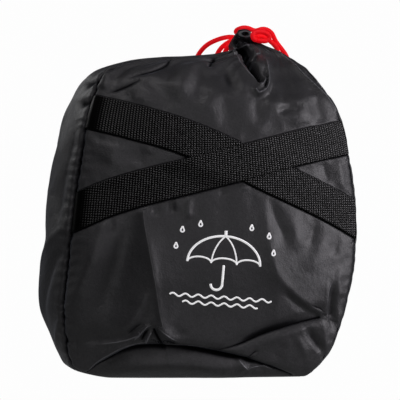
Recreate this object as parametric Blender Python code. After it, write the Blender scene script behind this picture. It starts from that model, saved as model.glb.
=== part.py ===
"""A bicycle cover packed in its drawstring bag.

The bag stands on its base. Its front faces -Y, +Z is up, and the origin is the middle of the flat patch
that it rests on. Tables are in millimetres, and MM turns them into Blender's metres.
"""

import bmesh
import bpy
import numpy as np
from mathutils import Vector
from mathutils.bvhtree import BVHTree

MM = 0.001

# ---------------------------------------------------------------- driving sizes

WEBBING_WIDTH = 25.0
WEBBING_THICKNESS = 1.5
CORD_DIAMETER = 3.5
AIR = 0.4  # left between the cloth and what is sewn or tied over it
SEAM_DEPTH = 1.4  # how far a sewn seam sinks into the stuffed cloth
SEAM_HALF_WIDTH = 0.014  # of a panel's width, where the cloth turns down into its seam
PLEATS = 13  # gathers round the drawn mouth
RIGHT_CROWN = 0.35  # how full the right side is stuffed, next to the left one
CROWN_POWER = 2.3  # how flat the middle of a stuffed panel is

# One row for each level of the bag, from the patch it rests on up into the drawn mouth. x_left and x_right
# are the front seams, z_left and z_right the heights there, y_front and y_back the seams' depth, and the
# crowns how far each panel swells past its seams. tuck pulls the back seam of the left side in. lean tips a
# level forward, so that the rolled end of the mouth's casing faces the front, and twist turns a level about
# the upright axis.
BAG_COLUMNS = (
    "x_left", "x_right", "z_left", "z_right", "y_front", "y_back",
    "crown_front", "crown_side", "crown_back", "tuck", "pleat", "lean", "twist",
)
BAG_ROWS = (
    (-64, 67, 0.0, 0.0, -32, 32, 4, 2, 4, 6, 0.0, 0.0, 0.12),
    (-80, 71.5, 1.2, 1.2, -36, 37, 8, 3, 7, 9, 0.0, 0.0, 0.12),
    (-99.5, 79, 7.0, 7.0, -38, 40, 12, 4, 9, 12, 0.0, 0.0, 0.12),
    (-106, 88.5, 18.0, 18.0, -38, 41, 15, 5, 12, 11, 0.0, 0.0, 0.11),
    (-108, 95, 32.0, 32.0, -38, 42, 17, 6, 14, 6, 0.0, 0.0, 0.09),
    (-109.5, 102, 52.0, 52.0, -38, 42, 19, 8, 16, 0, 0.0, 0.0, 0.06),
    (-107.5, 108.5, 78.0, 78.0, -38, 42, 21, 9, 18, -2, 0.0, 0.0, 0.03),
    (-104.5, 112, 108.0, 108.0, -37, 42, 22, 9, 19, -3, 0.0, 0.0, 0),
    (-101, 111, 138.0, 138.0, -36, 41, 22, 8, 19, -4, 0.0, 0.0, 0),
    (-97.5, 107.5, 163.0, 162.0, -35, 40, 21, 7, 18, -4, 0.0, 0.0, 0),
    (-93, 103.5, 187.0, 184.0, -33, 37, 20, 6, 17, -3, 0.0, 0.0, 0),
    (-87, 97, 207.0, 202.0, -30, 33, 19, 5, 15, -3, 0.2, 0.0, 0),
    (-81.5, 90.5, 220.0, 212.0, -26, 29, 17, 4, 13, -1, 0.5, 0.0, 0),
    (-68, 84.5, 228.5, 221.0, -21, 24, 14, 3, 11, 0, 0.9, 0.0, 0),
    (-42, 78, 234.0, 229.5, -16, 19, 11, 3, 8, 0, 1.3, 0.0, 0),
    (-10, 72, 236.5, 234.5, -11, 14, 8, 2, 6, 0, 1.5, 0.0, 0),
    (14, 67, 239.0, 238.0, -8, 10, 5, 2, 4, 0, 1.3, 0.0, 0),
    (22, 62, 243.0, 241.5, -6.5, 8, 3.5, 1, 3, 0, 1.0, 0.0, 0),
    (23.5, 55.5, 248.0, 245.0, -5.5, 5, 3, 0.8, 2, 0, 0.7, 0.1, 0),
    (25.5, 47.5, 252.5, 248.5, -4.5, 3.8, 2.5, 0.8, 1.6, 0, 0.4, 0.3, 0),
    (28, 41, 255.4, 252.8, -4.4, 2.2, 1.6, 0.6, 1.2, 0, 0.0, 0.9, 0),
    (30.6, 38.8, 255.8, 254.8, -5.4, -1, 1, 0.5, 0.9, 0, 0.0, 1.4, 0),
    (31.4, 38.2, 255.6, 254.8, -6.8, -3, 0.8, 0.4, 0.7, 0, 0.0, 1.6, 0),
    (33, 36.6, 255.2, 254.8, -6.2, -4.4, 0.4, 0.3, 0.4, 0, 0.0, 1.6, 0),
    (33.4, 36.2, 255.0, 254.6, -4.6, -3, 0.3, 0.2, 0.3, 0, 0.0, 1.6, 0),
)
# The mesh's rows in each gap of the table.
ROWS_BETWEEN = (1, 2, 2, 3, 4, 5, 5, 5, 4, 4, 3, 2, 2, 2, 2, 2, 2, 2, 2, 2, 1, 1, 1, 1)

# Cloth is wider on the front and back than on the two sides, so they take more of the mesh's columns.
PANEL_STEPS = {"front": 46, "right": 9, "back": 17, "left": 9}

# The folds that show from a step away, as seen from the front. A fold runs along its x, z points. height is
# above the cloth, or below it where negative, and lean tips a fold over: its one side stands and the other
# sinks.
FOLD_COLUMNS = ("points", "half_width", "height", "lean")
FOLDS = (
    # the front seam's arch over the base, the strip that bulges under it and the cloth that sags over it
    (((-96, 3), (-86, 10), (-72, 20), (-58, 26), (-33, 26), (-11, 23), (18, 16), (40, 9), (58, 1)), 4.2, -5.0, 0.0),
    (((-74, 6), (-40, 13), (-10, 11), (30, 5)), 7.0, 2.6, 0.0),
    (((-56, 38), (-20, 38), (20, 31), (54, 21)), 8.0, 2.6, 0.0),
    # the long upright fold under the lower strap, and the crumple that it ends in
    (((-37, 36), (-41, 46), (-44, 65), (-49, 98), (-54, 125)), 9.0, 3.6, 0.7),
    (((-62, 40), (-50, 38), (-40, 40), (-30, 32)), 5.0, -2.4, 0.0),
    # the crease that comes to a point at the lower right
    (((84, 42), (79, 45), (62, 54), (46, 69), (34, 90)), 9.0, 3.8, 0.7),
    (((84, 45), (66, 40), (49, 35), (18, 27), (-7, 24)), 6.0, -2.8, 0.2),
    (((88, 78), (84, 52), (93, 30)), 7.0, -2.4, 0.2),
    # soft waves beside them
    (((-99, 45), (-84, 81), (-64, 119)), 11.0, 2.4, 0.0),
    (((37, 128), (40, 101), (54, 72)), 8.0, 2.0, 0.0),
    (((60, 37), (78, 25), (90, 15)), 7.0, 1.8, 0.0),
    # the pleat that runs down from the drawn mouth, its far lip, and the creases round it
    (((29, 244), (32, 231), (37, 219), (38, 207)), 5.0, -6.5, 0.0),
    (((43, 244), (47, 229), (46, 215), (41, 204)), 5.5, 3.4, 0.0),
    (((62, 238), (60, 217), (57, 199)), 7.0, -2.8, 0.0),
    (((82, 190), (74, 203), (68, 218)), 7.0, 2.2, 0.0),
    (((-16, 238), (-44, 227), (-66, 218)), 6.0, -2.8, 0.3),
    (((-50, 217), (-78, 207)), 6.0, -1.8, 0.0),
)

# Webbing across the front, from the left seam to the right one: the x, z points of its middle. The lower
# strap lies over the upper one where they cross.
STRAPS = {
    "strap_under": ((-104, 198), (-84, 193.5), (-61, 187.5), (-30, 178.5), (2, 166), (42, 147.5), (86, 128), (118, 112)),
    "strap_over": ((-114, 115), (-96, 123.5), (-76, 132), (-52, 139.5), (-22, 147), (20, 157.5), (60, 168), (92, 175), (112, 179)),
}
STRAP_STEPS = 44
STRAP_STEPS_ACROSS = 4
STRAP_RAMP = 16.0  # the length in which the upper webbing climbs onto the lower one
STRAP_CLEAR = 5.0  # folds die away this far from the webbing that holds the cloth flat
STRAP_END = 1.2  # of webbing left out beside the seam that takes it
SEAM_TOP = 214.0  # the seams that take the webbing end below this height


# The red drawcord's pieces: the points of each one's middle line, as x, y, z. The left one comes out of the
# mouth's back, arches to the left and loops down behind the bag. The tail hangs there with its free end.
# The right one is knotted beside the mouth, loops down behind the bag, comes up again, and goes over the
# mouth's rolled end.
CORDS = {
    "cord_left_loop": (
        (38, 14, 251), (34.5, 15, 253.4), (31, 15.2, 254.6), (26.5, 14.6, 254.9), (21.7, 13.6, 254.2),
        (17, 12.6, 252.8), (11.8, 12, 250.6), (7.8, 12.8, 248.1), (5, 15, 245.2), (3.2, 19, 242),
        (1.8, 26, 237.2), (0.8, 34, 231), (0.3, 41.5, 222), (0.3, 48.5, 209.5), (0.4, 53.5, 197),
        (1.2, 56.2, 189), (4.2, 57.6, 182.2), (9.5, 58.2, 179.4), (14.8, 57.6, 182.2), (17.6, 55.8, 190),
        (18.2, 52, 201), (18.2, 47, 212), (18, 40.5, 222), (17.5, 32.5, 231.2), (17, 24.5, 237.2),
        (17.2, 18.2, 241.6), (18.4, 15.2, 244.8), (21.2, 13.6, 248.1), (25, 12.7, 250.8), (29, 11.5, 252.2),
        (34, 10.2, 252),
    ),
    "cord_left_tail": (
        (33.5, 10.9, 246.8), (29.5, 9.7, 248.3), (26.2, 9.1, 248.5), (23.8, 9.8, 246.8), (22.4, 12.2, 244),
        (22.3, 16, 241.5), (23.5, 22.4, 238.6), (25.5, 30.2, 233), (27.5, 38.4, 224.9), (28.8, 45.8, 212.8),
        (29.4, 51.9, 199.2), (29.3, 56, 185), (28.6, 58.6, 171),
    ),
    "cord_right": (
        (41.4, -9.2, 250.4), (40.9, -8.9, 253.6), (41.7, -7.9, 256.7), (44.6, -7.2, 258.3),
        (48, -6.6, 256.7), (48.6, -5.6, 253.7), (46.2, -3.8, 252.5), (44, -0.6, 254.6), (45.6, 1.9, 256.5),
        (49.3, 1.4, 255.5), (52.8, 0.2, 252.6), (56.4, 1.4, 249.4), (60.4, 6, 245.8), (63.2, 12, 241.8),
        (64.2, 18.4, 238.6), (62, 26, 234), (59.3, 33.6, 227.6), (57.2, 40.2, 218.5), (56, 46.2, 206.5),
        (56.8, 49.9, 195.5), (60.2, 51.4, 187.4), (66, 51, 184.2), (71.6, 48.8, 188.8), (74, 45.4, 198.5),
        (74.5, 40.4, 209), (74.5, 34.2, 218), (74.2, 27.6, 226), (73.5, 21.2, 232.4), (72.4, 16.4, 237.4),
        (70.4, 12.8, 241.2), (68, 10.6, 244.2), (65, 9, 247.2), (61.4, 7.8, 250.4), (58.4, 6.4, 253.8),
        (56.2, 5.4, 257), (53.2, 4.8, 259.4), (50, 4.6, 260.4), (46.8, 4.8, 260.4), (43.2, 4.8, 260.6),
        (39.6, 4.4, 261.2), (35.8, 4.4, 261.4), (32, 5.4, 260.4), (29.8, 7.2, 258.6), (30.4, 9, 257),
        (33, 10.2, 256.4),
    ),
}
CORD_STEP = 10.5  # between the points of a cord's tube where it runs straight
CORD_TURN = 50.0  # degrees between them where it bends

# ---------------------------------------------------------------- smooth tables


def smooth_rows(table, at):
    """The table's rows read at fractional row numbers, on smooth curves through the rows."""
    table = np.asarray(table, float)
    at = np.clip(np.asarray(at, float), 0, len(table) - 1)
    low = np.minimum(at.astype(int), len(table) - 2)
    share = (at - low)[:, None]
    before = table[np.maximum(low - 1, 0)]
    start = table[low]
    end = table[low + 1]
    after = table[np.minimum(low + 2, len(table) - 1)]
    return 0.5 * (
        2 * start
        + (end - before) * share
        + (2 * before - 5 * start + 4 * end - after) * share**2
        + (3 * start - before - 3 * end + after) * share**3
    )


def smooth_line(points, step):
    """Points about step apart on the smooth curve through a route's own points."""
    fine = smooth_rows(points, np.linspace(0, len(points) - 1, 40 * len(points)))
    along = np.concatenate([[0], np.cumsum(np.linalg.norm(np.diff(fine, axis=0), axis=1))])
    at = np.linspace(0, along[-1], max(3, round(along[-1] / step) + 1))
    return np.stack([np.interp(at, along, fine[:, k]) for k in range(fine.shape[1])], axis=1)


def side_of_line(x, z, points):
    """How far x, z are from a line of points, which side of it they lie on, and how far along it they are."""
    line = smooth_line(np.asarray(points, float), 4.0)
    distance = np.full(x.shape, np.inf)
    side = np.zeros(x.shape)
    along = np.zeros(x.shape)
    for number, (start, end) in enumerate(zip(line[:-1], line[1:])):
        run = end - start
        length = np.hypot(*run)
        share = np.clip(((x - start[0]) * run[0] + (z - start[1]) * run[1]) / length**2, 0, 1)
        away = np.hypot(x - start[0] - share * run[0], z - start[1] - share * run[1])
        nearer = away < distance
        turned = ((x - start[0]) * run[1] - (z - start[1]) * run[0]) / length
        distance = np.where(nearer, away, distance)
        side = np.where(nearer, np.sign(turned), side)
        along = np.where(nearer, (number + share) / (len(line) - 1), along)
    return distance, side, along


# ---------------------------------------------------------------- the stuffed bag


def crown(share):
    """The swell of a stuffed panel, from 0 at its seams to 1 in its middle."""
    return 1 - np.abs(2 * share - 1) ** CROWN_POWER


def smooth_bag(levels, loop):
    """The bag without its folds: points for each level of the table and each place round the loop.

    loop counts panels: 0 to 1 is the front, from its left seam to its right one, then come the right side,
    the back and the left side."""
    row = dict(zip(BAG_COLUMNS, smooth_rows(BAG_ROWS, levels).T[:, :, None]))
    loop = np.asarray(loop, float)[None, :] % 4
    panel = np.minimum(loop.astype(int), 3)
    share = loop - panel
    swell = crown(share)
    across = (row["x_right"] - row["x_left"]) * share
    deep = (row["y_back"] - row["y_front"]) * share
    pulled = row["tuck"]
    back_left = row["x_left"] + pulled
    x = np.choose(panel, [
        row["x_left"] + across,
        row["x_right"] + RIGHT_CROWN * row["crown_side"] * swell,
        row["x_right"] + (back_left - row["x_right"]) * share,
        back_left - pulled * share - row["crown_side"] * swell,
    ])
    y = np.choose(panel, [
        row["y_front"] - row["crown_front"] * swell,
        row["y_front"] + deep,
        row["y_back"] + row["crown_back"] * swell,
        row["y_back"] - deep,
    ])
    rise = (row["z_right"] - row["z_left"]) / (row["x_right"] - row["x_left"])
    z = row["z_left"] + rise * (x - row["x_left"]) + row["lean"] * (y - (row["y_front"] + row["y_back"]) / 2)
    return np.stack([x, y - row["twist"] * x, np.maximum(z, 0)], axis=2), row["pleat"]


def outward(points):
    """The outward direction at each point of a grid of levels by places round the loop."""
    up = np.gradient(points, axis=0)
    round_it = np.roll(points, -1, axis=1) - np.roll(points, 1, axis=1)
    out = np.cross(round_it, up)
    return out / np.maximum(np.linalg.norm(out, axis=2, keepdims=True), 1e-9)


def strap_middle(name, x):
    """The height of a strap's middle line at x, and its slope."""
    line = smooth_line(np.asarray(STRAPS[name], float), 3.0)
    return np.interp(x, line[:, 0], line[:, 1]), np.interp(
        x, line[:, 0], np.gradient(line[:, 1], line[:, 0])
    )


def under_strap(x, z):
    """1 where webbing holds the cloth flat, falling to 0 beside it."""
    held = np.zeros(x.shape)
    for name in STRAPS:
        middle, slope = strap_middle(name, x)
        away = np.abs(z - middle) / np.sqrt(1 + slope**2) - WEBBING_WIDTH / 2
        held = np.maximum(held, 1 - np.clip(away / STRAP_CLEAR, 0, 1))
    return held


def fold_height(x, z):
    """How far the folds lift the front of the bag, or sink it."""
    height = np.zeros(x.shape)
    for fold in FOLDS:
        fold = dict(zip(FOLD_COLUMNS, fold))
        distance, side, along = side_of_line(x, z, fold["points"])
        near = distance / fold["half_width"]
        fade = np.clip(5 * np.minimum(along, 1 - along), 0, 1)
        lean = fold["lean"]
        profile = (1 - lean) * np.exp(-(near**2)) + lean * side * near * np.exp(0.5 - near**2 / 2)
        height += fold["height"] * fade * profile
    return height


def bag_points(levels, loop):
    """The bag's surface with its pleats, seams and folds, in millimetres."""
    points, pleat = smooth_bag(levels, loop)
    out = outward(points)
    loop = np.asarray(loop, float)[None, :] % 4
    cloth = np.interp(loop, [0, 1, 2, 3, 4], [0, 0.36, 0.5, 0.86, 1])
    turns = PLEATS * cloth + 0.35 * np.sin(6 * np.pi * cloth)
    lift = pleat * np.cos(2 * np.pi * turns)
    to_seam = np.abs(loop - np.round(loop))
    on_side = np.clip(points[:, :, 2] / 12, 0, 1) * np.clip((232 - points[:, :, 2]) / 20, 0, 1)
    lift = lift - SEAM_DEPTH * np.exp(-((to_seam / SEAM_HALF_WIDTH) ** 2)) * on_side
    faces_front = np.clip(-1.6 * out[:, :, 1], 0, 1) * (loop < 1)
    x, z = points[:, :, 0], points[:, :, 2]
    lift = lift + fold_height(x, z) * faces_front * (1 - under_strap(x, z))
    moved = points + out * lift[:, :, None]
    moved[:, :, 2] = np.where(points[:, :, 2] <= 0, 0, np.maximum(moved[:, :, 2], 0.3))
    return moved


def bag_levels():
    """The fractional rows of the table that the mesh has."""
    return np.concatenate([
        row + np.arange(steps) / steps for row, steps in enumerate(ROWS_BETWEEN)
    ] + [[len(BAG_ROWS) - 1]])


def bag_loop():
    """The places round the bag that the mesh has: even steps, and a narrow pair at each seam."""
    places = []
    for number, steps in enumerate(PANEL_STEPS.values()):
        even = np.arange(1, steps) / steps
        places += [number, number + 2 * SEAM_HALF_WIDTH, *(number + even), number + 1 - 2 * SEAM_HALF_WIDTH]
    return np.array(places)


def grid_faces(rows, columns, closed):
    """Quads over a grid of points numbered row by row, wrapping round where closed."""
    wide = columns if closed else columns - 1
    return [
        (
            row * columns + column,
            row * columns + (column + 1) % columns,
            (row + 1) * columns + (column + 1) % columns,
            (row + 1) * columns + column,
        )
        for row in range(rows - 1)
        for column in range(wide)
    ]


def new_mesh(name, points, faces):
    mesh = bpy.data.meshes.new(name)
    mesh.from_pydata([Vector(point) * MM for point in points], [], faces)
    mesh.update()
    return mesh


def make_bag():
    grid = bag_points(bag_levels(), bag_loop())
    rows, columns = grid.shape[:2]
    base = tuple(range(columns))[::-1]
    mouth = tuple((rows - 1) * columns + column for column in range(columns))
    mesh = new_mesh("bag", grid.reshape(-1, 3), [base, *grid_faces(rows, columns, True), mouth])
    return add_object("bag", mesh, CLOTH)


# ---------------------------------------------------------------- the webbing


def front_of(tree, x, z):
    """Where a line along +Y at x, z meets the bag's front."""
    place, _, _, _ = tree.ray_cast(Vector((x, -200, z)) * MM, Vector((0, 1, 0)))
    return np.array(place) / MM


def seam_x(tree_points, z):
    """The left and right front seams' x at height z."""
    left, right = tree_points
    return np.interp(z, left[:, 2], left[:, 0]), np.interp(z, right[:, 2], right[:, 0])


def strap_grid(name, tree, seams):
    """The strap's inner face on the bag, as points along it by points across it, and its outward directions."""
    across = np.linspace(0.5, -0.5, STRAP_STEPS_ACROSS + 1) * WEBBING_WIDTH
    grid = np.zeros((STRAP_STEPS + 1, len(across), 3))
    for column, offset in enumerate(across):
        share = np.linspace(0, 1, STRAP_STEPS + 1)
        x = -100 + 210 * share
        for _ in range(6):
            middle, slope = strap_middle(name, x)
            z = middle + offset * np.sqrt(1 + slope**2)
            left, right = seam_x(seams, z)
            x = (left + STRAP_END) + (right - left - 2 * STRAP_END) * share
        for row in range(STRAP_STEPS + 1):
            grid[row, column] = front_of(tree, x[row], z[row])
    along_it = np.gradient(grid, axis=0)
    across_it = np.gradient(grid, axis=1)
    out = np.cross(across_it, along_it)
    out /= np.linalg.norm(out, axis=2, keepdims=True)
    return grid, out


def crossing_lift(grid):
    """How far the upper webbing is raised, so that it clears the lower one."""
    middle, slope = strap_middle("strap_under", grid[:, :, 0])
    away = np.abs(grid[:, :, 2] - middle) / np.sqrt(1 + slope**2) - WEBBING_WIDTH / 2 - 2.0
    ramp = 1 - np.clip(away / STRAP_RAMP, 0, 1)
    return (WEBBING_THICKNESS + AIR) * ramp * ramp * (3 - 2 * ramp)


def make_strap(name, tree, seams):
    grid, out = strap_grid(name, tree, seams)
    lift = AIR + (crossing_lift(grid) if name == "strap_over" else 0 * grid[:, :, 0])
    inner = grid + out * lift[:, :, None]
    outer = grid + out * (lift + WEBBING_THICKNESS)[:, :, None]
    rows, columns = grid.shape[:2]
    count = rows * columns
    faces = [face[::-1] for face in grid_faces(rows, columns, False)]
    faces += [tuple(count + corner for corner in face[::-1]) for face in faces]
    rim = (
        [row * columns for row in range(rows)]
        + [(rows - 1) * columns + column for column in range(1, columns)]
        + [row * columns + columns - 1 for row in range(rows - 2, -1, -1)]
        + [column for column in range(columns - 2, 0, -1)]
    )
    faces += [
        (here, after, count + after, count + here) for here, after in zip(rim, rim[1:] + rim[:1])
    ]
    mesh = new_mesh(name, np.concatenate([inner.reshape(-1, 3), outer.reshape(-1, 3)]), faces)
    return add_object(name, mesh, WEBBING)


# ---------------------------------------------------------------- the drawcord


def tube_points(points):
    """Points on the smooth curve through a cord's own points, closer together where it bends."""
    fine = smooth_line(np.asarray(points, float), 0.5)
    runs = np.diff(fine, axis=0)
    length = np.linalg.norm(runs, axis=1)
    heading = runs / length[:, None]
    bend = np.degrees(np.arccos(np.clip((heading[1:] * heading[:-1]).sum(axis=1), -1, 1)))
    cost = length / CORD_STEP + np.concatenate([[0], bend]) / CORD_TURN
    reached = np.concatenate([[0], np.cumsum(cost)])
    at = np.linspace(0, reached[-1], int(np.ceil(reached[-1])) + 1)
    return np.stack([np.interp(at, reached, fine[:, k]) for k in range(3)], axis=1)


def make_cord(name):
    points = tube_points(CORDS[name])
    curve = bpy.data.curves.new(name, "CURVE")
    curve.dimensions = "3D"
    curve.bevel_depth = CORD_DIAMETER / 2 * MM
    curve.bevel_resolution = 2
    curve.use_fill_caps = True
    spline = curve.splines.new("POLY")
    spline.points.add(len(points) - 1)
    for place, point in zip(spline.points, points):
        place.co = (*(point * MM), 1)
    curve.materials.append(CORD)
    made = bpy.data.objects.new(name, curve)
    bpy.context.scene.collection.objects.link(made)
    return made


# ---------------------------------------------------------------- objects and materials


def material(name, colour, roughness):
    made = bpy.data.materials.new(name)
    made.use_nodes = True
    shader = made.node_tree.nodes["Principled BSDF"]
    shader.inputs["Base Color"].default_value = (*colour, 1)
    shader.inputs["Roughness"].default_value = roughness
    made.diffuse_color = (*colour, 1)
    return made


def outward_faces(mesh):
    """Turns every face of a closed mesh outward."""
    shape = bmesh.new()
    shape.from_mesh(mesh)
    bmesh.ops.recalc_face_normals(shape, faces=shape.faces)
    shape.to_mesh(mesh)
    shape.free()


def add_object(name, mesh, finish):
    outward_faces(mesh)
    mesh.shade_smooth()
    mesh.set_sharp_from_angle(angle=0.9)
    mesh.materials.append(finish)
    made = bpy.data.objects.new(name, mesh)
    bpy.context.scene.collection.objects.link(made)
    return made


for old in list(bpy.data.objects):
    bpy.data.objects.remove(old)

CLOTH = material("bag_cloth", (0.022, 0.022, 0.025), 0.5)
WEBBING = material("webbing", (0.012, 0.012, 0.013), 0.75)
CORD = material("cord", (0.75, 0.01, 0.02), 0.6)

bag = make_bag()
bpy.context.view_layer.update()
bag_tree = BVHTree.FromObject(bag, bpy.context.evaluated_depsgraph_get())
front_seams = [bag_points(bag_levels(), np.array([place]))[:, 0] for place in (0.0, 1.0)]
front_seams = [line[line[:, 2] < SEAM_TOP] for line in front_seams]
straps = [make_strap(name, bag_tree, front_seams) for name in STRAPS]
cords = [make_cord(name) for name in CORDS]
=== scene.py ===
"""The looks of a bicycle cover packed in its drawstring bag.

The bag, its webbing and its red cord are fine meshes on the same smooth form as the solids. Tables and sizes
are in millimetres, and MM turns them into Blender's metres. The finishes and the studio are in metres.
"""

import math

import bmesh
import bpy
import numpy as np
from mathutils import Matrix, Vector
from mathutils.bvhtree import BVHTree


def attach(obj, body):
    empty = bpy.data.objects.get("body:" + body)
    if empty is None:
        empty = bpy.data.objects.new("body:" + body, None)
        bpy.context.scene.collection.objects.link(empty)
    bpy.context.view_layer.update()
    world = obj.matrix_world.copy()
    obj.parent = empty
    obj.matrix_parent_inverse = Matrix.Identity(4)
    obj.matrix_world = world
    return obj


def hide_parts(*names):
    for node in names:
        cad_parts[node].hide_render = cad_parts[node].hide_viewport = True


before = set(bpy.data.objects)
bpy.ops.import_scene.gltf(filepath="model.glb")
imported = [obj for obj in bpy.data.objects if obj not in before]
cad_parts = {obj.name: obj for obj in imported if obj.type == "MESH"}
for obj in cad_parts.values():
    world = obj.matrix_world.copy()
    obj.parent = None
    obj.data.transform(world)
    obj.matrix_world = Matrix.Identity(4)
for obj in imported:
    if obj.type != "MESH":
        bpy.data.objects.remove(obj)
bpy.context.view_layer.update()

MM = 0.001

# ---------------------------------------------------------------- driving sizes

WEBBING_WIDTH = 25.0
WEBBING_THICKNESS = 1.5
CORD_DIAMETER = 3.5
AIR = 0.4  # left between the cloth and what is sewn or tied over it

# A name that ends in RAMP has two values: where something begins, and where it is full.

RIGHT_CROWN = 0.35  # how full the right side is stuffed, next to the left one
CROWN_POWER = 2.3  # how flat the middle of a stuffed panel is
PANEL_WIDTHS = (205.0, 80.0)  # about, of the front and the back, and of the sides
CLOTH_SHARES = (0, 0.36, 0.5, 0.86, 1)  # of the way round the cloth, at each seam

# Seams are named in the order front left, front right, back right, back left.
SEAM_DEPTH = (5.0, 1.6, 3.0, 3.6)  # how far each one sinks into the cloth
SEAM_PUCKER = (0.8, 0.25, 0.5, 0.5)  # of the gathers that each one's thread draws in the cloth beside it
SEAM_HALF_WIDTH = 2.1  # from the seam's line to where the cloth has turned out of it
SEAM_DISH = 0.9  # depth of the wide dish that the groove lies in
SEAM_DISH_WIDTH = 4.0
SEAM_LINE = 2.2  # how much wider than a crease the painted shade line along it is
SEAM_FOOT_RAMP = (0.0, 12.0)  # heights over the ground
SEAM_TOP_RAMP = (246.0, 232.0)
PUCKER_LENGTH = 1.2  # of seam, for one radian of the puckers' wave
PUCKER_LEAST = 0.6  # their height where chance adds nothing
PUCKER_START = 1.5  # from the seam's line to where they are full
PUCKER_REACH = 4.5  # the distance in which they die away

# Where chance makes the cloth uneven: its hills' height and width, and the seed that they are drawn from.
CHANCE = {
    "seam line": (0.5, 9.0, 41),
    "seam depth": (0.25, 12.0, 43),
    "pucker phase": (3.0, 14.0, 5),
    "pucker height": (0.8, 20.0, 47),
    "wide creases": (0.6, 34.0, 11),
    "small creases": (0.25, 15.0, 23),
}
LATTICE = 256  # heights from which the hills are drawn
CREASE_BEND = 2.5  # how much wider than the creases the hills are that bend them
CREASE_SQUASH = (1, 1, 0.6)  # draws the wide creases out upwards
CREASE_LEVEL = 0.51  # taken off them, so that they also sink the cloth
CREASE_FOOT_RAMP = (0.0, 6.0)
CREASE_TOP_RAMP = (254.0, 234.0)

PLEATS = 13  # main gathers round the drawn mouth
PLEAT_DRIFT = 0.35  # how far they stray from even places
FINER_PLEATS = ((29, 0.3, 0.2), (43, 0.2, 0.7))  # number, height next to the main ones, and where they start
FINER_DRIFT = 0.8
CALM = 0.8  # how much lower the gathers are on the right of the front,
CALM_LOOP_RAMP = (0.5, 0.62)  # by the place round the loop
CALM_TOP_RAMP = (247.0, 239.0)  # and by height

# The beak is the drawn mouth. Its steep left side is a line of x, z points.
BEAK_SIDE = ((24.6, 242.2), (23.2, 247.4), (24.0, 249.6), (27.1, 255.0), (29.8, 258.0))
BEAK_TURN = 1.5  # the height in which the cloth turns up into it
BEAK_SHADE = 0.7  # how much painted shade darkens the beak
BEAK_SHADE_RAMP = (242.0, 250.0)
BEAK_HOLE = (33.9, 255.8)  # x, z of the small opening that the rolled end of the casing leaves, painted dark as shade
BEAK_HOLE_SIZE = (2.3, 1.3)
HOLE_RAMP = (1.3, 0.8)  # from outside the opening to its full painted shade, in these sizes
HOLE_RIM = 1.7  # the middle of the painted highlight on its rim, in the same sizes
HOLE_RIM_END = 3.0

FOLD_TIP = 0.3  # how far a fold's edge is rounded
FOLD_STEP = 4.0  # between the places at which a fold's line is read
FOLD_ENDS = 0.35  # of a fold's length, in which each end comes to the full height
# A crisp edge is drawn as a small bump, with painted shade along a valley and a painted highlight along a
# ridge.
FOLD_CRISP = 1.3  # a fold whose softness is below this also has a crisp edge, which the cloth's finish draws,
RIM_WIDTH = 3.0  # where one of its flanks is narrower than this
RIDGE_FULL = 3.0  # the height that gives a crisp ridge its full strength
VALLEY_FULL = 2.0  # and the depth that gives a crisp valley its own
VALLEY_WIDENS = 3.0  # the depth that doubles the width of a valley's line, which grows up to
VALLEY_WIDEST = 5.0  # this depth
EDGE_FAR = 9.0  # stands for no edge nearby
EDGE_WIDTH = 0.45  # of a crisp edge, to each side
EDGE_RAMP = (2.8, 1.8)  # distances at which an edge begins to count, and counts in full
FACING = 3.0  # how soon the folds of the front and the back are full where the cloth turns to face that way
SIDE_FACING = 1.6
DEEP_RAMP = (1.3, 3.5)  # depths below the panel at which painted shade begins to darken the cloth, and is full
LOWEST = 0.3  # the least height of the cloth above its base

CLOTH_STEP = 0.92  # between the fine bag's rows
CLOTH_CALM_ROWS = (5, 10)  # of the table: between them the rows may be this many times further apart
CLOTH_CALM_STEP = 1.6
CLOTH_COLUMNS = {"front": 212, "right": 20, "back": 42, "left": 41}
CLOTH_CROWDING = 0.35  # how much closer than even the columns are at a seam
PLAIN_STEP = 3.0  # between the rows of the form that the webbing is stretched over
PLAIN_COLUMNS = {"front": 90, "right": 12, "back": 12, "left": 12}

SIM_STEP = 3.6  # between the points of the cloth that is simulated
SIM_COLUMNS = {"front": 60, "right": 22, "back": 56, "left": 22}
SIM_SCALE = 10 * MM  # it is simulated ten times as large
SIM_FRAMES = 24
SIM_SLACK = 0.012  # how much wider the simulated cloth is cut than what it covers
SIM_SHARE = {"front": 0.5, "right": 0.8, "back": 1.0, "left": 0.5}  # of the shift that each panel takes
SIM_CAP = 2.5  # the most that the simulation may move a point
HELD_SEAM_RAMP = (9.5, 1.5)  # distances from a seam that hold the cloth
HELD_BASE_RAMP = (9.0, 1.0)  # heights that do
HELD_MOUTH_RAMP = (222.0, 238.0)

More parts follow.
